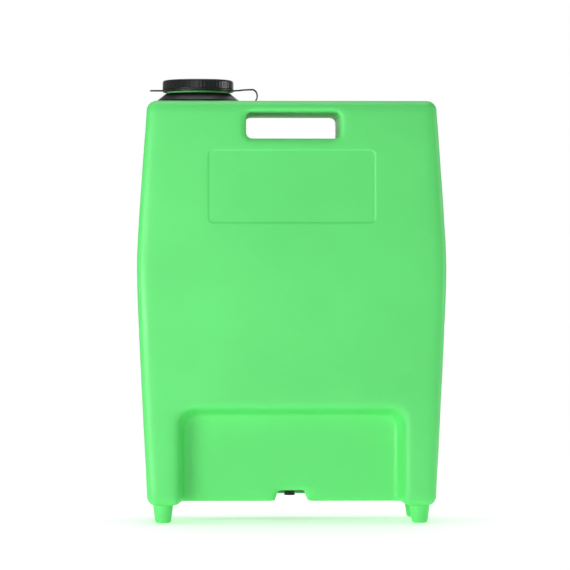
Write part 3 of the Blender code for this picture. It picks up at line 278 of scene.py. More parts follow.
class TankForm:
    """Distance-like function of the tank: negative inside the plastic, zero on its skin."""
    base = 0.0226
    flank_low = 0.0500
    flank_high = 0.0729
    apex_half = 0.2021
    apex = 0.335
    corner = 0.0120
    wall = 0.004
    slot_half = 0.0605
    slot_middle = 0.0015
    slot_low = DECK - 0.0490
    slot_high = DECK - 0.0150
    slot_flare = 0.0060
    panel_half = 0.1078
    panel_low = 0.388
    panel_high = 0.482
    panel_sink = 0.0011
    panel_slope = 0.0024
    recess_half = 0.1475
    recess_top = 0.1496
    recess_depth = 0.030
    recess_slope = 0.33
    bay_half = 0.150
    bay_top = 0.268
    bay_wall = 0.0175
    groove_mouth = 0.0215
    groove_top = 0.0414
    groove_lean = 0.297
    middle = 0.0276
    middle_half = 0.143

    def __init__(self, edge, softness):
        """Edge radius, and how softly the flanks meet."""
        self.edge = edge
        self.softness = softness

    def flanks(self, x, z):
        """Sloping sides that meet in a soft belly."""
        low = self.apex_half - self.flank_low * (self.apex - z)
        high = self.apex_half - self.flank_high * (z - self.apex)
        half = 0.5 * (low + high - np.sqrt((low - high) ** 2 + self.softness ** 2))
        return np.abs(x) - half

    def block(self, x, y, z):
        """The tank's block, less its underside."""
        front = meet(self.flanks(x, z), np.abs(z - (DECK + self.base) / 2) - (DECK - self.base) / 2,
                     self.corner)
        solid = meet(front, np.abs(y) - FACE, self.edge)
        lean = (np.abs(x) + z - self.middle - self.middle_half) / math.sqrt(2)
        solid = take(solid, np.maximum(lean, z - self.middle), 0.004)
        groove = np.abs(x) - self.groove_mouth + self.groove_lean * (z - self.middle)
        return take(solid, meet(groove / math.hypot(1, self.groove_lean), z - self.groove_top, 0.003),
                    0.0025)

    def openings(self, x, y, z, grow):
        """Recess, bay, scoop and hand slot, grown by a distance: pairs of cutter and edge radius."""
        depth = y + FACE
        lean = self.recess_slope / math.hypot(1, self.recess_slope)
        side = (np.abs(x) - self.recess_half) / math.hypot(1, self.recess_slope) + lean * depth
        head = (z - self.recess_top) / math.hypot(1, self.recess_slope) + lean * depth
        recess = meet(meet(side, head, 0.0185), depth - self.recess_depth, 0.006)
        bay = meet(meet(np.abs(x) - self.bay_half, z - self.bay_top, 0.016), self.bay_wall - y, 0.004)
        scoop = meet(meet(np.abs(x) - 0.042, np.abs(z - 0.275) - 0.027, 0.012), FACE - 0.0175 - y, 0.008)
        middle = (self.slot_high + self.slot_low) / 2
        tall = np.abs(z - middle) - (self.slot_high - self.slot_low) / 2
        slot = meet(np.abs(x - self.slot_middle) - self.slot_half, tall, 0.0075)
        return [(recess - grow, 0.0060), (bay - grow, 0.0042), (scoop - grow, 0.006),
                (slot - grow, self.slot_flare)]

    def panel(self, x, y, z):
        """Depth of the label panels at a point of either face."""
        middle = (self.panel_high + self.panel_low) / 2
        border = meet(np.abs(x) - self.panel_half,
                      np.abs(z - middle) - (self.panel_high - self.panel_low) / 2, 0.007)
        return self.panel_sink * ease(0.5 - border / self.panel_slope) * (np.abs(y) > FACE - 0.01)

    def __call__(self, x, y, z):
        """Skin and water space together."""
        body = self.block(x, y, z)
        skin = body
        space = body + self.wall
        for (cutter, edge), (grown, _) in zip(self.openings(x, y, z, 0), self.openings(x, y, z, self.wall)):
            skin = take(skin, cutter, edge)
            space = take(space, grown, edge)
        neck = np.hypot(x - NECK_AXIS[0], y) - 0.0372
        bore = np.maximum(neck, np.abs(z - DECK) - 0.02)
        return np.maximum(np.maximum(skin, -space), -bore)


def slopes(form, points, step=0.0001):
    """Gradient of a form at points, by central differences."""
    gradient = np.empty_like(points)
    for axis in range(3):
        shift = np.zeros(3)
        shift[axis] = step
        gradient[:, axis] = (form(*(points + shift).T) - form(*(points - shift).T)) / (2 * step)
    return gradient


def implicit_mesh(name, form, low, high, step, adaptivity):
    """Surface where the form is zero: sampled on a grid, meshed, then each point is pulled onto the form."""
    counts = np.ceil((high - low) / step).astype(int) + 1
    axes = [low[a] + step * np.arange(counts[a]) for a in range(3)]
    x, y, z = np.meshgrid(*axes, indexing="ij", sparse=True)
    values = np.ascontiguousarray(np.broadcast_to(form(x, y, z), counts), np.float32)
    grid = openvdb.FloatGrid(float(step * 3))
    grid.copyFromArray(np.clip(values / step, -3, 3))
    points, triangles, quads = grid.convertToPolygons(0, adaptivity)
    points = low + points.astype(float) * step
    for _ in range(3):
        gradient = slopes(form, points)
        length = np.sum(gradient ** 2, axis=1)
        value = form(*points.T)
        pull = np.clip(value / np.maximum(length, 0.25), -step, step)
        points = points - gradient * pull[:, None]
    groups = [g for g in (triangles.astype(np.int64), quads.astype(np.int64)) if len(g)]
    return polygon_mesh(name, points, groups)


def press_panels(piece, form):
    """Press the label panels into both faces.

    Loops are cut along the borders first, then each flat point moves in by the panel's depth there.
    """
    middle = (form.panel_high + form.panel_low) / 2
    tall = (form.panel_high - form.panel_low) / 2
    shape = bmesh.new()
    shape.from_mesh(piece.data)
    faces = [f for f in shape.faces if abs(f.normal.y) > 0.9999 and f.calc_center_median().z > form.panel_low - 0.02]
    geometry = list({v for f in faces for v in f.verts}) + list({e for f in faces for e in f.edges}) + faces
    for axis, centre, half in ((0, 0, form.panel_half), (2, middle, tall)):
        for side in (-1, 1):
            for inset in PANEL_LOOPS:
                place = [0, 0, 0]
                place[axis] = centre + side * (half - inset)
                facing = [0, 0, 0]
                facing[axis] = 1
                geometry = bmesh.ops.bisect_plane(shape, geom=geometry, dist=0.000002, plane_co=place,
                                                  plane_no=facing)["geom"]
    shape.to_mesh(piece.data)
    shape.free()
    mesh = piece.data
    points = np.empty(len(mesh.vertices) * 3, np.float32)
    mesh.vertices.foreach_get("co", points)
    points = points.reshape(-1, 3).astype(float)
    flat = np.abs(points[:, 1]) > FACE - 0.0004
    points[:, 1] -= np.where(flat, np.sign(points[:, 1]) * form.panel(*points.T), 0)
    mesh.vertices.foreach_set("co", points.astype(np.float32).reshape(-1))
    mesh.update()


# ---------------------------------------------------------------- materials

class Finish:
    """Builds one procedural material, node by node."""

    def __init__(self, name, colour, roughness, metallic=0.0, **sockets):
        """Principled shader with fixed values on its own sockets."""
        self.material = bpy.data.materials.new(name)
        self.material.use_nodes = True
        self.nodes = self.material.node_tree.nodes
        self.links = self.material.node_tree.links
        self.shader = self.nodes["Principled BSDF"]
        self.colour = tuple(colour) + (1,)
        self.shader.inputs["Base Color"].default_value = self.colour
        self.shader.inputs["Roughness"].default_value = roughness
        self.shader.inputs["Metallic"].default_value = metallic
        for socket, value in sockets.items():
            self.shader.inputs[socket.replace("_", " ")].default_value = value
        self.place = self.nodes.new("ShaderNodeTexCoord").outputs["Object"]
        self.normal = None

    def noise(self, scale, detail=2.0, stretch=(1, 1, 1), roughness=0.5):
        """Noise in the object's own coordinates."""
        mapping = self.nodes.new("ShaderNodeMapping")
        mapping.inputs["Scale"].default_value = stretch
        self.links.new(self.place, mapping.inputs["Vector"])
        noise = self.nodes.new("ShaderNodeTexNoise")
        noise.inputs["Scale"].default_value = scale
        noise.inputs["Detail"].default_value = detail
        noise.inputs["Roughness"].default_value = roughness
        self.links.new(mapping.outputs["Vector"], noise.inputs["Vector"])
        return noise.outputs["Fac"]

    def span(self, value, low, high, out_low, out_high):
        """Map a stretch of values to another."""
        node = self.nodes.new("ShaderNodeMapRange")
        for socket, number in zip(("From Min", "From Max", "To Min", "To Max"), (low, high, out_low, out_high)):
            node.inputs[socket].default_value = number
        self.links.new(value, node.inputs["Value"])
        return node.outputs["Result"]

    def bump(self, value, height, strength=1.0):
        """Raise the surface by a pattern; later calls build on earlier ones."""
        node = self.nodes.new("ShaderNodeBump")
        node.inputs["Strength"].default_value = strength
        node.inputs["Distance"].default_value = height
        self.links.new(value, node.inputs["Height"])
        if self.normal is not None:
            self.links.new(self.normal, node.inputs["Normal"])
        self.normal = node.outputs["Normal"]
        self.links.new(self.normal, self.shader.inputs["Normal"])
        return self

    def mottle(self, value, darker, lighter):
        """Vary the base colour between two tones of itself."""
        ramp = self.nodes.new("ShaderNodeMix")
        ramp.data_type = "RGBA"
        ramp.inputs[6].default_value = tuple(c * darker for c in self.colour[:3]) + (1,)
        ramp.inputs[7].default_value = tuple(min(1, c * lighter) for c in self.colour[:3]) + (1,)
        self.links.new(value, ramp.inputs[0])
        self.links.new(ramp.outputs[2], self.shader.inputs["Base Color"])
        return self

    def gloss(self, value, smooth, rough):
        """Vary the roughness by a pattern."""
        self.links.new(self.span(value, 0.3, 0.7, smooth, rough), self.shader.inputs["Roughness"])
        return self


def green_finish():
    """Rotomoulded polyethylene: satin, faintly wavy, with fine orange peel and rubbed scuffs."""
    finish = Finish("moulded_green", looks().green, 0.42, Subsurface_Weight=0.06,
                    Subsurface_Scale=0.004, Specular_IOR_Level=0.5, IOR=1.5)
    finish.shader.inputs["Subsurface Radius"].default_value = (0.4, 1.0, 0.5)
    finish.mottle(finish.span(finish.noise(7, 4), 0.35, 0.65, 0, 1), 0.965, 1.03)
    finish.gloss(finish.noise(38, 5, (1, 1, 0.35)), 0.36, 0.50)
    finish.bump(finish.noise(14, 1), 0.0006, 0.25)
    finish.bump(finish.noise(620, 2), 0.00008, 0.55)
    finish.bump(finish.span(finish.noise(150, 6, (1, 1, 0.06), 0.62), 0.62, 0.75, 0, -1), 0.00006, 0.5)
    return finish.material


def black_finish(name, smooth, rough, grain):
    """Injection-moulded black plastic with flow marks, a fine grain and handling scratches."""
    finish = Finish(name, looks().black, smooth, Specular_IOR_Level=0.5, IOR=1.5)
    finish.mottle(finish.span(finish.noise(60, 4), 0.4, 0.7, 0, 1), 0.9, 1.3)
    finish.gloss(finish.noise(90, 5, (1, 1, 0.3)), smooth, rough)
    finish.bump(finish.noise(900, 2), grain, 0.3)
    finish.bump(finish.span(finish.noise(260, 5, (0.15, 1, 1)), 0.66, 0.74, 0, -1), grain, 0.3)
    return finish.material


def rubber_finish():
    """Matt rubber with a powdery bloom."""
    finish = Finish("seal_rubber_skin", (0.018, 0.018, 0.019), 0.85, Specular_IOR_Level=0.3)
    finish.mottle(finish.span(finish.noise(220, 5), 0.4, 0.7, 0, 1), 0.8, 2.4)
    finish.bump(finish.noise(1500, 3), 0.00006, 0.7)
    return finish.material


def gloss_finish(name, colour, smooth, rough):
    """Bright injection-moulded plastic with sink marks and a fine grain."""
    finish = Finish(name, colour, smooth, Specular_IOR_Level=0.5, IOR=1.49)
    finish.mottle(finish.span(finish.noise(40, 3), 0.35, 0.65, 0, 1), 0.95, 1.03)
    finish.gloss(finish.noise(70, 4), smooth, rough)
    finish.bump(finish.noise(45, 1), 0.0002, 0.25)
    finish.bump(finish.noise(1100, 2), 0.00003, 0.4)
    return finish.material


def steel_finish():
    """Turned stainless steel with fine rings of tool marks."""
    finish = Finish("bright_steel", looks().steel, 0.28, 1.0)
    finish.gloss(finish.noise(400, 4, (1, 0.05, 1)), 0.20, 0.38)
    finish.bump(finish.noise(2200, 2, (1, 0.04, 1)), 0.00002, 0.6)
    return finish.material


SLOT_FINISH = {}


def finish_for(slot):
    """The material of a record's slot, made once."""
    makers = {
        "tank_green": green_finish,
        "screen_green": lambda: gloss_finish("screen_green_skin", tuple(0.8 * c for c in looks().green),
                                             0.35, 0.5),
        "cap_black": lambda: black_finish("cap_gloss_black", 0.13, 0.19, 0.000006),
        "tether_black": lambda: black_finish("tether_satin_black", 0.30, 0.42, 0.00002),
        "valve_black": lambda: black_finish("valve_satin_black", 0.34, 0.52, 0.00004),
        "seal_rubber": rubber_finish,
        "fitting_white": lambda: gloss_finish("fitting_white_skin", looks().white, 0.26, 0.40),
        "signal_yellow": lambda: gloss_finish("signal_yellow_skin", looks().yellow, 0.28, 0.42),
        "steel": steel_finish,
    }
    if slot not in SLOT_FINISH:
        SLOT_FINISH[slot] = makers[slot]()
    return SLOT_FINISH[slot]


def settle(piece, slot, body, *stands_for):
    """Give a piece its finish and slot, ride it on its body and let it stand for frame nodes."""
    piece.data.materials.clear()
    piece.data.materials.append(finish_for(slot))
    if body:
        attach(piece, body)
    if stands_for:
        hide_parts(*stands_for)
    return piece


def soften(piece, width, segments=2, angle=40):
    """Small rounding along a piece's sharp edges."""
    bevel = piece.modifiers.new("soft_edges", "BEVEL")
    bevel.width = width
    bevel.segments = segments
    bevel.limit_method = "ANGLE"
    bevel.angle_limit = math.radians(angle)
    bevel.harden_normals = False
    return piece


# ---------------------------------------------------------------- tank, neck and feet

def build_tank():
    """Tank body: the surface where TankForm is zero, with the label panels pressed in."""
    form = TankForm(looks().tank_edge, looks().belly_softness)
    step = looks().mesh_step
    margin = 3 * step
    low = np.array([TANK_LOW[0] - margin, -FACE - margin, form.base - margin])
    high = np.array([TANK_HIGH[0] + margin, FACE + margin, DECK + margin])
    tank = implicit_mesh("tank_body_skin", form, low, high, step, 0.10)
    press_panels(tank, form)
    return settle(tank, "tank_green", "tank_body", "tank")


def build_neck():
    """Filler neck with one turn of round thread: the bead follows height = start + pitch t / 2 pi."""
    radius = 0.0405
    pitch = 0.006
    start = DECK + 0.0165
    top = TANK_HIGH[2]
    profile = filleted([(radius + 0.004, DECK - 0.001, 0), (radius, DECK + 0.002, 0.003),
                        (radius, top, 0.0012),
                        (0.0365, top, 0.0012), (0.0365, DECK - 0.012, 0)], steps=5)
    profile = resample(profile, 0.0005)

    def bead(angle, radii, heights):
        """Round bead that runs out over the last tenth of its turn."""
        share = np.mod(angle, math.tau) / math.tau
        away = heights - (start + pitch * share)
        bulge = 0.0015 * np.exp(-(away / 0.0010) ** 2)
        fade = ease(share / 0.06) * ease((1 - share) / 0.06)
        return np.where(radii > radius - 0.0005, bulge * fade, 0)

    neck = lathe("tank_neck", profile, NECK_AXIS, steps=180, closed=True, ripple=bead)
    return settle(neck, "tank_green", "tank_body")


def build_feet():
    """Four tapered peg feet with rounded tips and a crisp shoulder under the tank."""
    feet = [mount["pos_m"] for mount in frame["record"]["mounts"] if mount["name"].startswith("foot")]
    for index, (x, y, _) in enumerate(feet):
        profile = filleted([(0, 0.0250, 0), (0.0132, 0.0250, 0.0001), (0.0126, 0.0195, 0.0012),
                            (0.0100, 0, 0.0040),
                            (0, 0, 0)], steps=8)
        foot = lathe("tank_foot_%d" % index, resample(profile, 0.0015), (x, y, 0), steps=72, closed=False)
        settle(foot, "tank_green", "tank_body")


# ---------------------------------------------------------------- cap and tether

def build_cap():
    """Screw cap: grip ribs round the skirt, a shallow dished top with a rim, and a vent hole."""
    base = CAP_LOW[2]
    top = CAP_HIGH[2] - base
    outer = 0.0466
    profile = filleted([
        (0.0033, top - 0.0012, 0), (0.0340, top - 0.0012, 0.002), (0.0365, top, 0.0015),
        (outer - 0.0002, top, 0.0030),
        (outer, 0.0036, 0.0005), (0.0448, 0.0036, 0.0003), (0.0448, 0.0009, 0.0003),
        (0.0460, 0.0009, 0.0002),
        (0.0460, 0, 0.0003), (0.0432, 0, 0.0004), (0.0432, top - 0.0032, 0.001), (0.0033, top - 0.0032, 0),
    ], steps=5)
    profile = resample(profile, 0.0011)
    count = looks().cap_ribs
    depth = looks().rib_depth

    def ribs(angle, radii, heights):
        """Rounded grooves between ribs, fading out below the top edge and above the skirt."""
        wave = 0.5 - 0.5 * np.cos(angle * count)
        band = ease((heights - 0.0040) / 0.0012) * ease((top - 0.0022 - heights) / 0.0020)
        return np.where(radii > outer - 0.0012, -depth * wave ** 2 * band, 0)

    cap = lathe("cap_skin", profile, (NECK_AXIS[0], 0, base), steps=720, closed=True, ripple=ribs)
    return settle(cap, "cap_black", "cap_body", "cap")


def build_collar():
    """Flared collar that clips round the foot of the neck."""
    low = COLLAR_LOW[2]
    tall = COLLAR_HIGH[2] - low
    profile = filleted([(0.0416, tall, 0.0004), (0.0425, tall, 0.0006), (0.0540, 0.0032, 0.0016),
                        (0.0540, 0, 0.0006),
                        (0.0412, 0, 0.0004)], closed=True, steps=5)
    profile = resample(np.concatenate([profile, profile[:1]]), 0.001)[:-1]
    collar = lathe("tether_collar_skin", profile, (NECK_AXIS[0], 0, low), steps=144)
    return settle(collar, "tether_black", "tank_body", "tether_collar")


def carried(name, line, half_width, thickness, corner=0.0004):
    """Flat strap: a rounded rectangle carried along a line in X and Z, square to it, level across Y."""
    along = np.gradient(line, axis=0)
    along /= np.linalg.norm(along, axis=1)[:, None]
    across = np.stack([-along[:, 1], along[:, 0]], axis=1)
    section = filleted([(-half_width, -thickness / 2, corner), (half_width, -thickness / 2, corner),
                        (half_width, thickness / 2, corner), (-half_width, thickness / 2, corner)],
                        closed=True, steps=3)
    x = line[:, None, 0] + across[:, None, 0] * section[None, :, 1]
    z = line[:, None, 1] + across[:, None, 1] * section[None, :, 1]
    y = np.broadcast_to(section[None, :, 0], x.shape)
    rings = np.stack([x, y, z], axis=-1)
    first = np.broadcast_to(rings[:1].mean(axis=1, keepdims=True), rings[:1].shape)
    last = np.broadcast_to(rings[-1:].mean(axis=1, keepdims=True), rings[-1:].shape)
    return grid_mesh(name, np.concatenate([first, rings, last]), wrap_v=True)


def build_ring():
    """Ring under the cap with a finger tab on the left."""
    low = RING_LOW[2]
    thick = RING_HIGH[2] - low
    profile = filleted([(0.0476, thick, 0.0004), (0.0476, 0, 0.0004), (0.0451, 0, 0.0004),
                        (0.0451, thick, 0.0004)],
                       closed=True, steps=4)
    ring = lathe("tether_ring_hoop", profile, (NECK_AXIS[0], 0, low), steps=144)
    middle = low + thick / 2
    line = np.stack([np.linspace(RING_LOW[0], NECK_AXIS[0] - 0.0458, 24), np.full(24, middle)], axis=1)
    tab = carried("tether_ring_tab", line, 0.005, thick * 0.85)
    points = np.array([v.co for v in tab.data.vertices])
    end = np.clip((RING_LOW[0] + 0.005 - points[:, 0]) / 0.005, 0, 1)
    points[:, 1] *= np.sqrt(np.clip(1 - end ** 2, 0, 1)) * 0.98 + 0.02
    tab.data.vertices.foreach_set("co", points.astype(np.float32).reshape(-1))
    return settle(join("tether_ring_skin", [ring, tab]), "tether_black", "ring_body", "tether_ring")


def build_strap():
    """Strap out of the ring, over in a round bend and back along the deck to the collar."""
    high = RING_LOW[2] + 0.0011
    low = DECK + 0.0015
    ring_edge = NECK_AXIS[0] + 0.0474
    collar_edge = NECK_AXIS[0] + 0.0538
    reach = STRAP_HIGH[0] - 0.0009
    bend = (high + 0.0016 - low) / 2
    angle = np.linspace(math.pi / 2, -math.pi / 2, 25)
    turn = np.stack([reach - 0.8 * bend + 0.8 * bend * np.cos(angle), low + bend + bend * np.sin(angle)],
                    axis=1)
    start = np.array([[ring_edge, high], [ring_edge + 0.006, high + 0.0004],
                      [ring_edge + 0.012, high + 0.0011]])
    line = resample(np.concatenate([start, turn, [[collar_edge, low]]]), 0.0012)
    strap = carried("tether_strap_skin", line, 0.0045, 0.0018)
    settle(strap, "tether_black", None, "tether_strap")
    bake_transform(strap)
    return strap


# ---------------------------------------------------------------- tray

def rounded_rectangle(half_width, half_height, radius, steps=14):
    """Closed path round a rectangle about the origin, with equal point counts for every inset."""
    quarter = np.linspace(0, math.pi / 2, steps + 1)
    sides = []
    corners = ((1, 1, 0), (-1, 1, 1), (-1, -1, 2), (1, -1, 3))
    for x_sign, z_sign, turn in corners:
        angle = quarter + turn * math.pi / 2
        sides.append(np.stack([x_sign * (half_width - radius) + radius * np.cos(angle),
                               z_sign * (half_height - radius) + radius * np.sin(angle)], axis=1))
    path = []
    for index, arc in enumerate(sides):
        path.append(arc)
        start = arc[-1]
        end = sides[(index + 1) % 4][0]
        count = 48 if index % 2 == 0 else 36
        path.append(start + (end - start) * (np.arange(1, count) / count)[:, None])
    return np.concatenate(path)


def build_tray():
    """Basin: a wall section of (inset, depth) carried round a rounded rectangle.

    Both ends of the section are drawn in to the middle.  The rim dips at the spout and the valve window.
    """
    half_width = (TRAY_HIGH[0] - TRAY_LOW[0]) / 2
    half_height = (TRAY_HIGH[2] - TRAY_LOW[2]) / 2
    centre_z = (TRAY_HIGH[2] + TRAY_LOW[2]) / 2
    face = TRAY_HIGH[1]
    rim = HINGE[1] + 0.0005
    section = filleted([
        (0.060, face, 0), (0.0095, face, 0.006), (0.0030, face - 0.006, 0.006),
        (0.0003, rim + 0.004, 0.0005),
        (0.0, rim + 0.0036, 0.0004), (0.0000, rim, 0.0013), (0.0032, rim, 0.0013),
        (0.0062, face - 0.0090, 0.006),
        (0.0120, face - 0.003, 0.006), (0.060, face - 0.003, 0),
    ], steps=6)
    section = resample(section, 0.0035)
    rings = []
    for inset, depth in section:
        radius = max(0.018 - inset, 0.0035)
        path = rounded_rectangle(half_width - inset, half_height - inset, radius)
        lip = np.clip((rim + 0.022 - depth) / 0.022, 0, 1)
        spout = 0.010 * ease((0.024 - np.abs(path[:, 0])) / 0.010) * (path[:, 1] > half_height * 0.8)
        window = 0.0185 * ease((0.0345 - np.abs(path[:, 0])) / 0.005) * (path[:, 1] < -half_height * 0.8)
        y = depth + (spout + window) * lip
        rings.append(np.stack([path[:, 0], y, path[:, 1] + centre_z], axis=1))
    middle = np.array([0, 0, centre_z])
    shares = np.array([0.0, 0.25, 0.5, 0.75])
    drawn = np.stack([shares, np.ones(4), shares], axis=-1)[:, None, :]
    outside = (rings[0] - middle) * drawn + middle
    inside = (rings[-1] - middle) * drawn[::-1] + middle
    tray = grid_mesh("tray_basin", np.concatenate([outside, np.stack(rings), inside]), wrap_v=True)
    settle(tray, "tank_green", "tray_body", "tray")
    for index, side in enumerate((-1, 1)):
        profile = filleted([(0.0063, 0.0060, 0.0004), (0.0110, 0.0060, 0.0008), (0.0110, 0, 0.0008),
                            (0.0063, 0, 0.0004)], closed=True, steps=4)
        base = (side * (half_width - 0.006), HINGE[1], HINGE[2])
        ear = lathe("tray_ear_%d" % index, profile, base, (side, 0, 0), steps=72)
        settle(ear, "tank_green", "tray_body")
        line = np.stack([np.linspace(side * (half_width - 0.0058), side * (half_width - 0.0016), 6),
                         np.full(6, HINGE[2])], axis=1)
        web = carried("tray_ear_web_%d" % index, line, 0.0075, 0.0160, 0.002)
        points = np.array([v.co for v in web.data.vertices])
        points[:, 1] += HINGE[1] + 0.0135
        web.data.vertices.foreach_set("co", points.astype(np.float32).reshape(-1))
        settle(web, "tank_green", "tray_body")


def build_pull():
    """Pull tab: a rounded plate with a raised rim, and three grip ribs near its top."""
    low, high = node_box("pull_tab")
    half_width = (high[0] - low[0]) / 2
    half_height = (high[2] - low[2]) / 2
    centre_z = (high[2] + low[2]) / 2
    section = filleted([(0.012, high[1] - 0.0006, 0), (0.0030, high[1] - 0.0006, 0.0006),
                        (0.0022, high[1], 0.0005),
                        (0.0, high[1], 0.0008), (0.0, low[1], 0.0005), (0.012, low[1], 0)], steps=4)
    rings = []
    for inset, depth in resample(section, 0.0015):
        path = rounded_rectangle(half_width - inset, half_height - inset, max(0.010 - inset, 0.001),
                                 steps=10)
        rings.append(np.stack([path[:, 0], np.full(len(path), depth), path[:, 1] + centre_z], axis=1))
    middle = np.array([0, 0, centre_z])
    first = [(rings[0] - middle) * np.array([s, 1, s]) + middle for s in (0.0, 0.35, 0.7)]
    last = [(rings[-1] - middle) * np.array([s, 1, s]) + middle for s in (0.7, 0.35, 0.0)]
    tab = grid_mesh("pull_tab_plate", np.stack(first + rings + last), wrap_v=True)
    pieces = [tab]
    for index in range(3):
        z = high[2] - 0.009 - 0.005 * index
        profile = filleted([(0, 0.034, 0), (0.0011, 0.034, 0.0009), (0.0011, 0, 0.0009), (0, 0, 0)],
                           steps=5)
        pieces.append(lathe("grip_%d" % index, profile, (-0.017, high[1] - 0.0008, z), (1, 0, 0),
                            steps=20, closed=False))
    return settle(join("pull_tab_skin", pieces), "signal_yellow", "tray_body", "pull_tab")


# ---------------------------------------------------------------- nozzles, covers and small parts

def build_covers():
    """Dust covers: a dished lid with a fluted skirt, and its knuckle on the hinge pin."""
    for name in ("left", "right"):
        node = "nozzle_cover_" + name
        low, high = node_box(node)
        centre = (low[0] + high[0]) / 2
        axis_z = low[2] + 0.0148
        hinge_z = node_box("cover_pin_" + name)[0][2] + 0.0012
        hinge_y = node_box("cover_pin_" + name)[0][1] + 0.0012
        front = low[1]
        profile = filleted([(0, -0.0006, 0), (0.0102, -0.0006, 0.001), (0.0112, 0, 0.0008),
                            (0.0148, 0, 0.0014),
                            (0.0148, -0.0062, 0.0005), (0.0133, -0.0062, 0.0003), (0.0133, -0.0022, 0.0005),
                            (0, -0.0022, 0)], steps=5)

        def flutes(angle, radii, heights):
            """Shallow flutes round the skirt."""
            return np.where(radii > 0.0143,
                            -0.0002 * (0.5 - 0.5 * np.cos(angle * 36)) * ease(-heights / 0.002), 0)

        lid = lathe("lid_" + name, resample(profile, 0.0008), (centre, front, axis_z), (0, -1, 0),
                    steps=288,
                    closed=False, ripple=flutes)
        eye = filleted([(0.0015, 0.0037, 0.0002), (0.0026, 0.0037, 0.0005), (0.0026, -0.0037, 0.0005),
                        (0.0015, -0.0037, 0.0002)], closed=True, steps=3)
        knuckle = lathe("eye_" + name, eye, (centre, hinge_y, hinge_z), (1, 0, 0), steps=40)
        line = np.stack([np.linspace(centre - 0.0036, centre + 0.0036, 8), np.full(8, hinge_z - 0.0015)],
                        axis=1)
        web = carried("web_" + name, line, 0.0031, 0.0034, 0.0006)
        points = np.array([v.co for v in web.data.vertices])
        points[:, 1] += front + 0.0036
        web.data.vertices.foreach_set("co", points.astype(np.float32).reshape(-1))
        cover = join("dust_cover_" + name, [lid, knuckle, web])
        settle(cover, "signal_yellow", "cover_%s_body" % name, node)


REPLACED = {"tank", "cap", "tether_collar", "tether_ring", "tether_strap", "tray", "pull_tab",
            "nozzle_cover_left", "nozzle_cover_right"}


def dress_frame_parts():
    """Finish every frame node that stays in view, with its small edges softened."""
    slots = {part["node"]: part["material_slot"] for part in frame["record"]["subparts"]}
    for node, piece in NODES.items():
        if node in REPLACED:
            continue
        piece.data.materials.clear()
        piece.data.materials.append(finish_for(slots[node]))
        shrink = piece.modifiers.new("merge", "WELD")
        shrink.merge_threshold = 0.000005
        if slots[node] != "seal_rubber":
            soften(piece, 0.0003)


# ---------------------------------------------------------------- stage

LAMP_TARGET = (0, 0, 0.28)
LAMPS = (
    ("key", (-1.35, -1.35, 0.02), 0.8, 1.9),
    ("front", (-0.8, -5.6, 1.0), 3.4, 2.2),
    ("right", (2.6, 0.2, 0.5), 1.4, 1.0),
    ("top", (-0.2, 0.2, 3.0), 2.2, 2.0),
    ("back", (0.3, 3.0, 1.6), 2.4, 1.2),
)
FLOOR_DROP = 0.0004
LENS = 231.0
VIEW_DISTANCE = 4.80
VIEW_ASIDE = math.radians(1.3)
VIEW_RISE = -0.0071
AIM = (-0.0070, 0, 0.3081)


def lamp(name, place, target, size, power):
    """Soft square lamp that faces a target."""
    light = bpy.data.lights.new(name, "AREA")
    light.energy = power
    light.size = size
    holder = bpy.data.objects.new(name, light)
    bpy.context.scene.collection.objects.link(holder)
    holder.location = place
    holder.rotation_euler = (Vector(target) - Vector(place)).to_track_quat("-Z", "Y").to_euler()


def build_stage():
    """Flat pale floor, soft lamps, a white surround and the camera."""
    size = looks().floor_size
    across = np.linspace(-size / 2, size / 2, 24)
    up = np.linspace(-size / 2, size / 2, 96)
    x, y = np.meshgrid(across, up, indexing="ij")
    floor = grid_mesh("pale_floor", np.stack([x, y, np.full_like(x, -FLOOR_DROP)], axis=-1))
    material = Finish("pale_floor_paint", (0.93, 0.93, 0.93), 0.85, Specular_IOR_Level=0.1)
    material.mottle(material.noise(3, 2), 0.99, 1.01)
    material.shader.inputs["Emission Color"].default_value = (1, 1, 1, 1)
    material.shader.inputs["Emission Strength"].default_value = looks().floor_glow
    floor.data.materials.append(material.material)
    for name, place, side, share in LAMPS:
        lamp(name, place, LAMP_TARGET, side, looks().lamp_power * share)
    world = bpy.data.worlds.new("soft_white")
    world.use_nodes = True
    nodes = world.node_tree.nodes
    links = world.node_tree.links
    background = nodes["Background"]
    background.inputs["Color"].default_value = (1, 1, 1, 1)
    path = nodes.new("ShaderNodeLightPath")
    strength = nodes.new("ShaderNodeMapRange")
    strength.inputs["To Min"].default_value = looks().surround
    strength.inputs["To Max"].default_value = 1.0
    links.new(path.outputs["Is Camera Ray"], strength.inputs["Value"])
    links.new(strength.outputs["Result"], background.inputs["Strength"])
    bpy.context.scene.world = world
    bpy.context.scene.view_settings.view_transform = "Standard"
    camera = bpy.data.cameras.new("camera")
    camera.sensor_width = 36
    camera.lens = LENS
    camera.clip_end = 60
    holder = bpy.data.objects.new("camera", camera)
    bpy.context.scene.collection.objects.link(holder)
    aim = Vector(AIM)
    back = Vector((-VIEW_DISTANCE * math.sin(VIEW_ASIDE), -VIEW_DISTANCE * math.cos(VIEW_ASIDE), VIEW_RISE))
    holder.location = aim + back
    holder.rotation_euler = (aim - holder.location).to_track_quat("-Z", "Y").to_euler()
    bpy.context.scene.camera = holder


# ---------------------------------------------------------------- operators and panel

class EYEWASH_OT_stage(bpy.types.Operator):
    """Floor, lamps and camera"""
    bl_idname = "eyewash.stage"
    bl_label = "Stage"
    bl_options = {"REGISTER", "UNDO"}

    def execute(self, context):
        """Build; a failure raises."""
        build_stage()
        return {"FINISHED"}


class EYEWASH_OT_tank(bpy.types.Operator):
    """Moulded tank, its neck and its four feet"""
    bl_idname = "eyewash.tank"
    bl_label = "Tank"
    bl_options = {"REGISTER", "UNDO"}

    def execute(self, context):
        """Build; a failure raises."""
        build_tank()
        build_neck()
        build_feet()
        return {"FINISHED"}


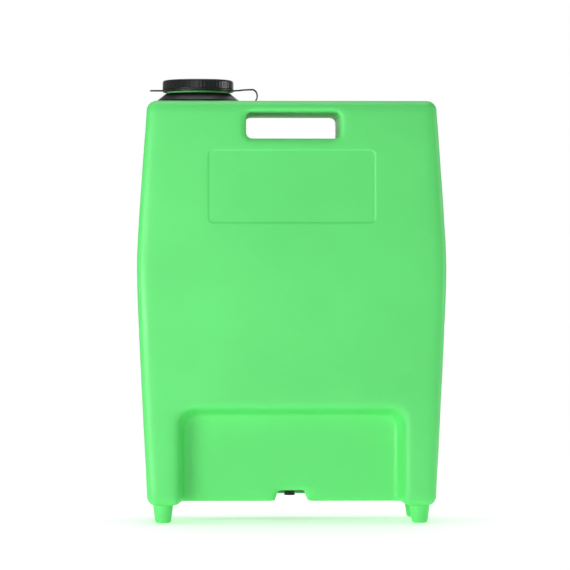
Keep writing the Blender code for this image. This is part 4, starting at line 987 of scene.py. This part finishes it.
class EYEWASH_OT_cap(bpy.types.Operator):
    """Ribbed screw cap"""
    bl_idname = "eyewash.cap"
    bl_label = "Cap"
    bl_options = {"REGISTER", "UNDO"}

    def execute(self, context):
        """Build; a failure raises."""
        build_cap()
        return {"FINISHED"}


class EYEWASH_OT_tether(bpy.types.Operator):
    """Collar, ring and strap"""
    bl_idname = "eyewash.tether"
    bl_label = "Tether"
    bl_options = {"REGISTER", "UNDO"}

    def execute(self, context):
        """Build; a failure raises."""
        build_collar()
        build_ring()
        build_strap()
        return {"FINISHED"}


class EYEWASH_OT_tray(bpy.types.Operator):
    """Fold-down basin and its pull tab"""
    bl_idname = "eyewash.tray"
    bl_label = "Tray"
    bl_options = {"REGISTER", "UNDO"}

    def execute(self, context):
        """Build; a failure raises."""
        build_tray()
        build_pull()
        return {"FINISHED"}


class EYEWASH_OT_covers(bpy.types.Operator):
    """Hinged covers of the nozzles"""
    bl_idname = "eyewash.covers"
    bl_label = "Dust covers"
    bl_options = {"REGISTER", "UNDO"}

    def execute(self, context):
        """Build; a failure raises."""
        build_covers()
        return {"FINISHED"}


class EYEWASH_OT_small_parts(bpy.types.Operator):
    """Valve, pipes, nozzles, pins, screws and seals"""
    bl_idname = "eyewash.small_parts"
    bl_label = "Small parts"
    bl_options = {"REGISTER", "UNDO"}

    def execute(self, context):
        """Build; a failure raises."""
        dress_frame_parts()
        return {"FINISHED"}


OPERATORS = [
    EYEWASH_OT_stage,
    EYEWASH_OT_tank,
    EYEWASH_OT_cap,
    EYEWASH_OT_tether,
    EYEWASH_OT_tray,
    EYEWASH_OT_covers,
    EYEWASH_OT_small_parts,
]


class EYEWASH_PT_station(bpy.types.Panel):
    """Sidebar panel with one button for each group of pieces."""
    bl_label = "Eyewash Station"
    bl_space_type = "VIEW_3D"
    bl_region_type = "UI"
    bl_category = "Eyewash"

    def draw(self, context):
        """List the settings and the operators."""
        for name in EyewashLooks.__annotations__:
            self.layout.prop(context.scene.eyewash_looks, name)
        for entry in OPERATORS:
            self.layout.operator(entry.bl_idname)


CLASSES = [EyewashLooks, *OPERATORS, EYEWASH_PT_station]


def register():
    """Add the classes and the settings to Blender."""
    for entry in CLASSES:
        bpy.utils.register_class(entry)
    bpy.types.Scene.eyewash_looks = PointerProperty(type=EyewashLooks)


def unregister():
    """Take them away again."""
    del bpy.types.Scene.eyewash_looks
    for entry in reversed(CLASSES):
        bpy.utils.unregister_class(entry)


def main():
    """Register and build every piece in order."""
    register()
    for entry in OPERATORS:
        group, name = entry.bl_idname.split(".")
        getattr(getattr(bpy.ops, group), name)()


if __name__ == "__main__":
    main()
